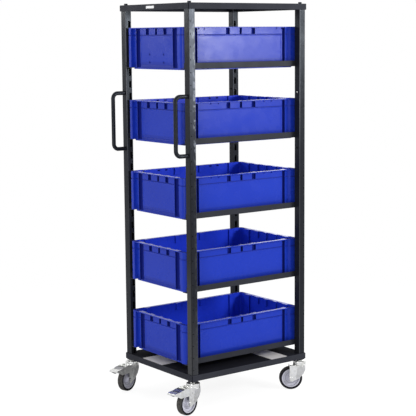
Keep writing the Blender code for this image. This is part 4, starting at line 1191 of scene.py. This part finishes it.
def tyre_template():
    """A rubber tyre with rounded shoulders, a flat running face and a mark where the dust collects."""
    half_width, inner, shoulder, steps = 0.014, 0.0403, 0.0042, 6
    crown = [(inner, half_width - 0.0010), (inner + 0.0006, half_width - 0.0004), (inner + 0.0016, half_width - 0.0008),
             (inner + 0.0026, half_width), (WHEEL_RADIUS - shoulder, half_width)]
    for step in range(1, steps + 1):
        angle = QUARTER * step / steps
        crown.append((WHEEL_RADIUS - 0.0003 - shoulder * (1 - math.sin(angle)),
                      half_width - shoulder * (1 - math.cos(angle))))
    crown += [(WHEEL_RADIUS, half_width * 0.45), (WHEEL_RADIUS, 0.0)]
    profile = crown + [(radius, -height) for radius, height in reversed(crown[:-1])]
    bm = turned(bmesh.new(), profile, 96, closed=True, matrix=AXLE_PLACE)
    tyre = add_piece("tyre_template", bm, RUBBER, smooth=40.0)
    for vertex, value in values_of(tyre, "running_face", "POINT"):
        value.value = clamp((axle_distance(vertex.co) - DUST_FROM) / DUST_FADE)
    return tyre


def pedal_place(back, above):
    """A point of the pedal, from its distance behind the swivel axis and its height above the wheel."""
    return (-back, 2 * WHEEL_RADIUS + above)


def pedal_template():
    """A folded brake pedal: two cheeks beside the fork and a bent tread with ribs behind the wheel."""
    tip, under = PEDAL_TIP, PEDAL_TIP - PEDAL_SHEET
    tread = [(0.081, 0.015), (0.097, 0.011), (tip, 0.0085), (tip, 0.0005), (under, 0.0005), (under, 0.0065),
             (0.0965, 0.009), (0.081, 0.013)]
    tread = rounded_path([pedal_place(*point) for point in tread],
                         [0.0, 0.012, 0.0028, 0.0006, 0.0006, 0.0009, 0.010, 0.0], closed=True)
    pedal = add_piece("pedal_template", pushed(tread, -PEDAL_OUTER, PEDAL_OUTER), ZINC)
    boss, nose = PIN_RADIUS * 3.0, 0.0225
    upper_edge = [(nose, 0.0165), (0.064, 0.0165), (0.081, 0.014), (0.097, 0.010), (0.129, 0.0075),
                  (0.129, 0.0015), (0.095, -0.0165)]
    cheek = rounded_path(
        [(-PIVOT_BACK + boss, PIVOT_HEIGHT + boss), (-nose, PIVOT_HEIGHT + boss * 1.4),
         *(pedal_place(*point) for point in upper_edge), (-PIVOT_BACK - boss, PIVOT_HEIGHT - boss),
         (-PIVOT_BACK + boss, PIVOT_HEIGHT - boss)],
        [0.002, 0.001, 0.002, 0.014, 0.010, 0.010, 0.001, 0.001, 0.012, 0.006, 0.006], closed=True)
    for sy in (-1, 1):
        cut(pedal, pushed(cheek, sy * PEDAL_INNER, sy * (PEDAL_OUTER - PEDAL_SHEET / 10)), "UNION")
    cut_round(pedal, rod(PIN_RADIUS + 0.0005, -THROUGH, THROUGH, 24,
                         shift(-PIVOT_BACK, 0.0, PIVOT_HEIGHT) @ spin(QUARTER, "X")))
    grooves = bmesh.new()
    for back in TREAD_GROOVES:
        x, z = pedal_place(back, 0.0085 + (tip - back) / (tip - 0.097) * 0.0025)
        box(grooves, (x - GROOVE_HALF, -GROOVE_REACH, z - 0.0006), (x + GROOVE_HALF, GROOVE_REACH, z + 0.003))
    cut(pedal, grooves)
    # Mark the tread for painted shade: most on the part nearer the fork, half at the tip, none between the second and
    # third grooves.
    for face, value in values_of(pedal, "dull"):
        if face.normal.z > 0.8 and abs(face.center.y) < PEDAL_INNER:
            back = -face.center.x
            value.value = 0.0 if TREAD_GROOVES[1] < back < TREAD_GROOVES[2] else 0.5 if back > TREAD_GROOVES[2] else 0.9
    round_edges(pedal, 0.0004)
    return pedal


def make_casters():
    """Four casters; the two below the handles have brake pedals."""
    mount, axle, core = mount_template(), axle_template(), wheel_template()
    ribs, tyre = ribs_template(), tyre_template()
    forks = {True: fork_template(True), False: fork_template(False)}
    pedal = pedal_template()
    for corner in CORNERS:
        place, braked = caster_place(corner), corner in BRAKED
        upright = Matrix.Translation(place.to_translation())
        swivel, wheel = "swivel_" + corner, "wheel_" + corner
        rows = [(mount, "caster_mount", "_race", upright, "rack", "zinc"),
                (forks[braked], "caster_fork", "_pressing", place, swivel, "zinc"),
                (axle, "caster_axle", "_bolt", place, swivel, "zinc"),
                (core, "wheel_core", "_moulding", place, wheel, "wheel_nylon"),
                (ribs, "wheel_ribs", "", place, wheel, "wheel_nylon"),
                (tyre, "tyre", "_ring", place, wheel, "tyre_rubber")]
        if braked:
            rows.append((pedal, "brake_pedal", "_folding", place, "pedal_" + corner, "zinc"))
        for template, part, ending, matrix, body, slot in rows:
            nodes = [] if template is ribs else [f"{part}_{corner}"]
            stand_for(copy_of(template, f"{part}_{corner}{ending}", matrix), body, slot, *nodes)
    discard(mount, axle, core, ribs, tyre, pedal, *forks.values())


# Blank plates

def make_plates():
    """The blank plate on the top shelf's edge and two blank labels on the bottom shelf, with rounded corners."""
    finishes = {"name_plate": (WHITE_FILM, "label_white", 0), "shelf_label_rear": (PALE_FILM, "label_pale", 2),
                "shelf_label_right": (PALE_FILM, "label_pale", 2)}
    for name, (material, slot, axis) in finishes.items():
        low, high = local_box(name)
        one, two = (k for k in range(3) if k != axis)
        middle, half = (low + high) / 2, (high - low) / 2
        ring = rounded_rectangle(half[one], half[two], min(0.003, min(half[one], half[two]) / 3), 0.0, 5)
        outline = [(middle[one] + point.x, middle[two] + point.y) for point in ring]
        plate = add_piece(name + "_film", pushed(outline, low[axis], high[axis], axis), material)
        round_edges(plate, 0.0001)
        stand_for(plate, "rack", slot, name)


make_bins()
make_posts()
make_shelves()
make_rails()
make_handles()
make_top_bolts()
make_handle_bolts()
make_casters()
make_plates()


# Floor, light and camera

WHITE = (1.0, 1.0, 1.0, 1.0)


def make_floor():
    """A pale floor that keeps the cart's shadow and fades into the white around it."""
    bm = bmesh.new()
    bmesh.ops.create_circle(bm, cap_ends=True, segments=96, radius=9.0)
    material = bpy.data.materials.new("studio_floor")
    floor = add_piece("studio_floor", bm, material)
    floor.data.transform(Matrix.Translation(MIDDLE))
    material.use_nodes = True
    tree = material.node_tree
    tree.nodes.clear()
    place = shade(tree, "TexCoord", key="Object")
    centred = shade(tree, "Mapping", {"Vector": place, "Location": -MIDDLE})
    reach = shade(tree, "VectorMath", {0: centred}, key="Value", operation="LENGTH")
    fade = shade(tree, "MapRange", {"Value": reach, "From Min": 0.9, "From Max": 2.6},
                 interpolation_type="SMOOTHSTEP")
    matt = shade(tree, "BsdfDiffuse", {"Color": (0.20, 0.20, 0.20, 1.0)})
    glow = shade(tree, "Emission", {"Color": WHITE, "Strength": 0.89})
    seen = shade(tree, "AddShader", {0: matt, 1: glow})
    plain = shade(tree, "BsdfDiffuse", {"Color": (0.80, 0.80, 0.80, 1.0)})
    camera_ray = shade(tree, "LightPath", key="Is Camera Ray")
    near = shade(tree, "MixShader", {0: camera_ray, 1: plain, 2: seen})
    mixed = shade(tree, "MixShader", {0: fade, 1: near, 2: shade(tree, "BsdfTransparent")})
    node(tree, "ShaderNodeOutputMaterial", {"Surface": mixed})


def make_world(diffuse):
    """White for the camera, reflections and glass; an even soft level for everything else."""
    world = bpy.data.worlds.new("studio")
    bpy.context.scene.world = world
    world.use_nodes = True
    tree = world.node_tree
    tree.nodes.clear()
    ray = node(tree, "ShaderNodeLightPath").outputs
    one = shade(tree, "Math", {0: ray["Is Camera Ray"], 1: ray["Is Glossy Ray"]}, operation="MAXIMUM")
    every = shade(tree, "Math", {0: one, 1: ray["Is Transmission Ray"]}, operation="MAXIMUM")
    level = shade(tree, "MapRange", {"Value": every, "To Min": diffuse, "To Max": 1.0})
    light = shade(tree, "Background", {"Color": WHITE, "Strength": level})
    node(tree, "ShaderNodeOutputWorld", {"Surface": light})


def add_lamp(name, place, aim, width, height, radiance):
    """A soft box at a place round the cart, aimed at a point, with a given brightness of its face."""
    lamp = bpy.data.lights.new(name, "AREA")
    lamp.shape = "RECTANGLE"
    lamp.size = width
    lamp.size_y = height
    lamp.energy = radiance * width * height * math.pi
    holder = bpy.data.objects.new(name, lamp)
    holder.location = Vector(place) + MIDDLE
    holder.rotation_euler = (Vector(aim) - Vector(place)).to_track_quat("-Z", "Y").to_euler()
    holder.visible_camera = False
    bpy.context.scene.collection.objects.link(holder)


def make_camera():
    """The photograph's camera: its angle, distance and slight roll."""
    azimuth, elevation, roll, distance = math.radians(-36.62), math.radians(7.85), math.radians(-0.49), 5.3197
    back = Vector((math.sin(azimuth) * math.cos(elevation), -math.cos(azimuth) * math.cos(elevation),
                   math.sin(elevation)))
    right = Vector((math.cos(azimuth), math.sin(azimuth), 0.0))
    up = back.cross(right)
    across = math.cos(roll) * right + math.sin(roll) * up
    upward = -math.sin(roll) * right + math.cos(roll) * up
    target = Vector((0.0, 0.0, 0.7943)) - 0.0269 * right
    turn = Matrix((across, upward, back)).transposed().to_4x4()
    lens = bpy.data.cameras.new("studio_camera")
    lens.sensor_fit = "HORIZONTAL"
    lens.sensor_width = 36.0
    lens.lens = 107.62
    camera = bpy.data.objects.new("studio_camera", lens)
    camera.matrix_world = Matrix.Translation(target + back * distance + MIDDLE) @ turn
    bpy.context.scene.collection.objects.link(camera)
    bpy.context.scene.camera = camera


make_floor()
make_world(0.56)
add_lamp("right_soft_box", (1.38, -2.65, 1.57), (0.0, 0.0, 1.39), 0.68, 0.50, 44.0)
add_lamp("far_right_soft_box", (2.15, -2.45, 1.60), (0.0, 0.0, 1.4), 0.64, 0.46, 16.0)
add_lamp("front_soft_box", (-2.9, -1.7, 1.35), (0.0, 0.0, 0.7), 1.2, 1.8, 5.0)
add_lamp("left_soft_box", (-1.9, 2.5, 2.02), (0.0, 0.0, 1.7), 1.6, 0.60, 8.0)
add_lamp("overhead_soft_box", (0.2, -0.2, 3.6), (0.0, 0.0, 0.0), 2.4, 2.4, 1.6)
add_lamp("back_soft_box", (2.4, 1.6, 1.8), (0.0, 0.0, 0.8), 1.6, 2.0, 1.6)
make_camera()
bpy.context.scene.view_settings.view_transform = "Standard"
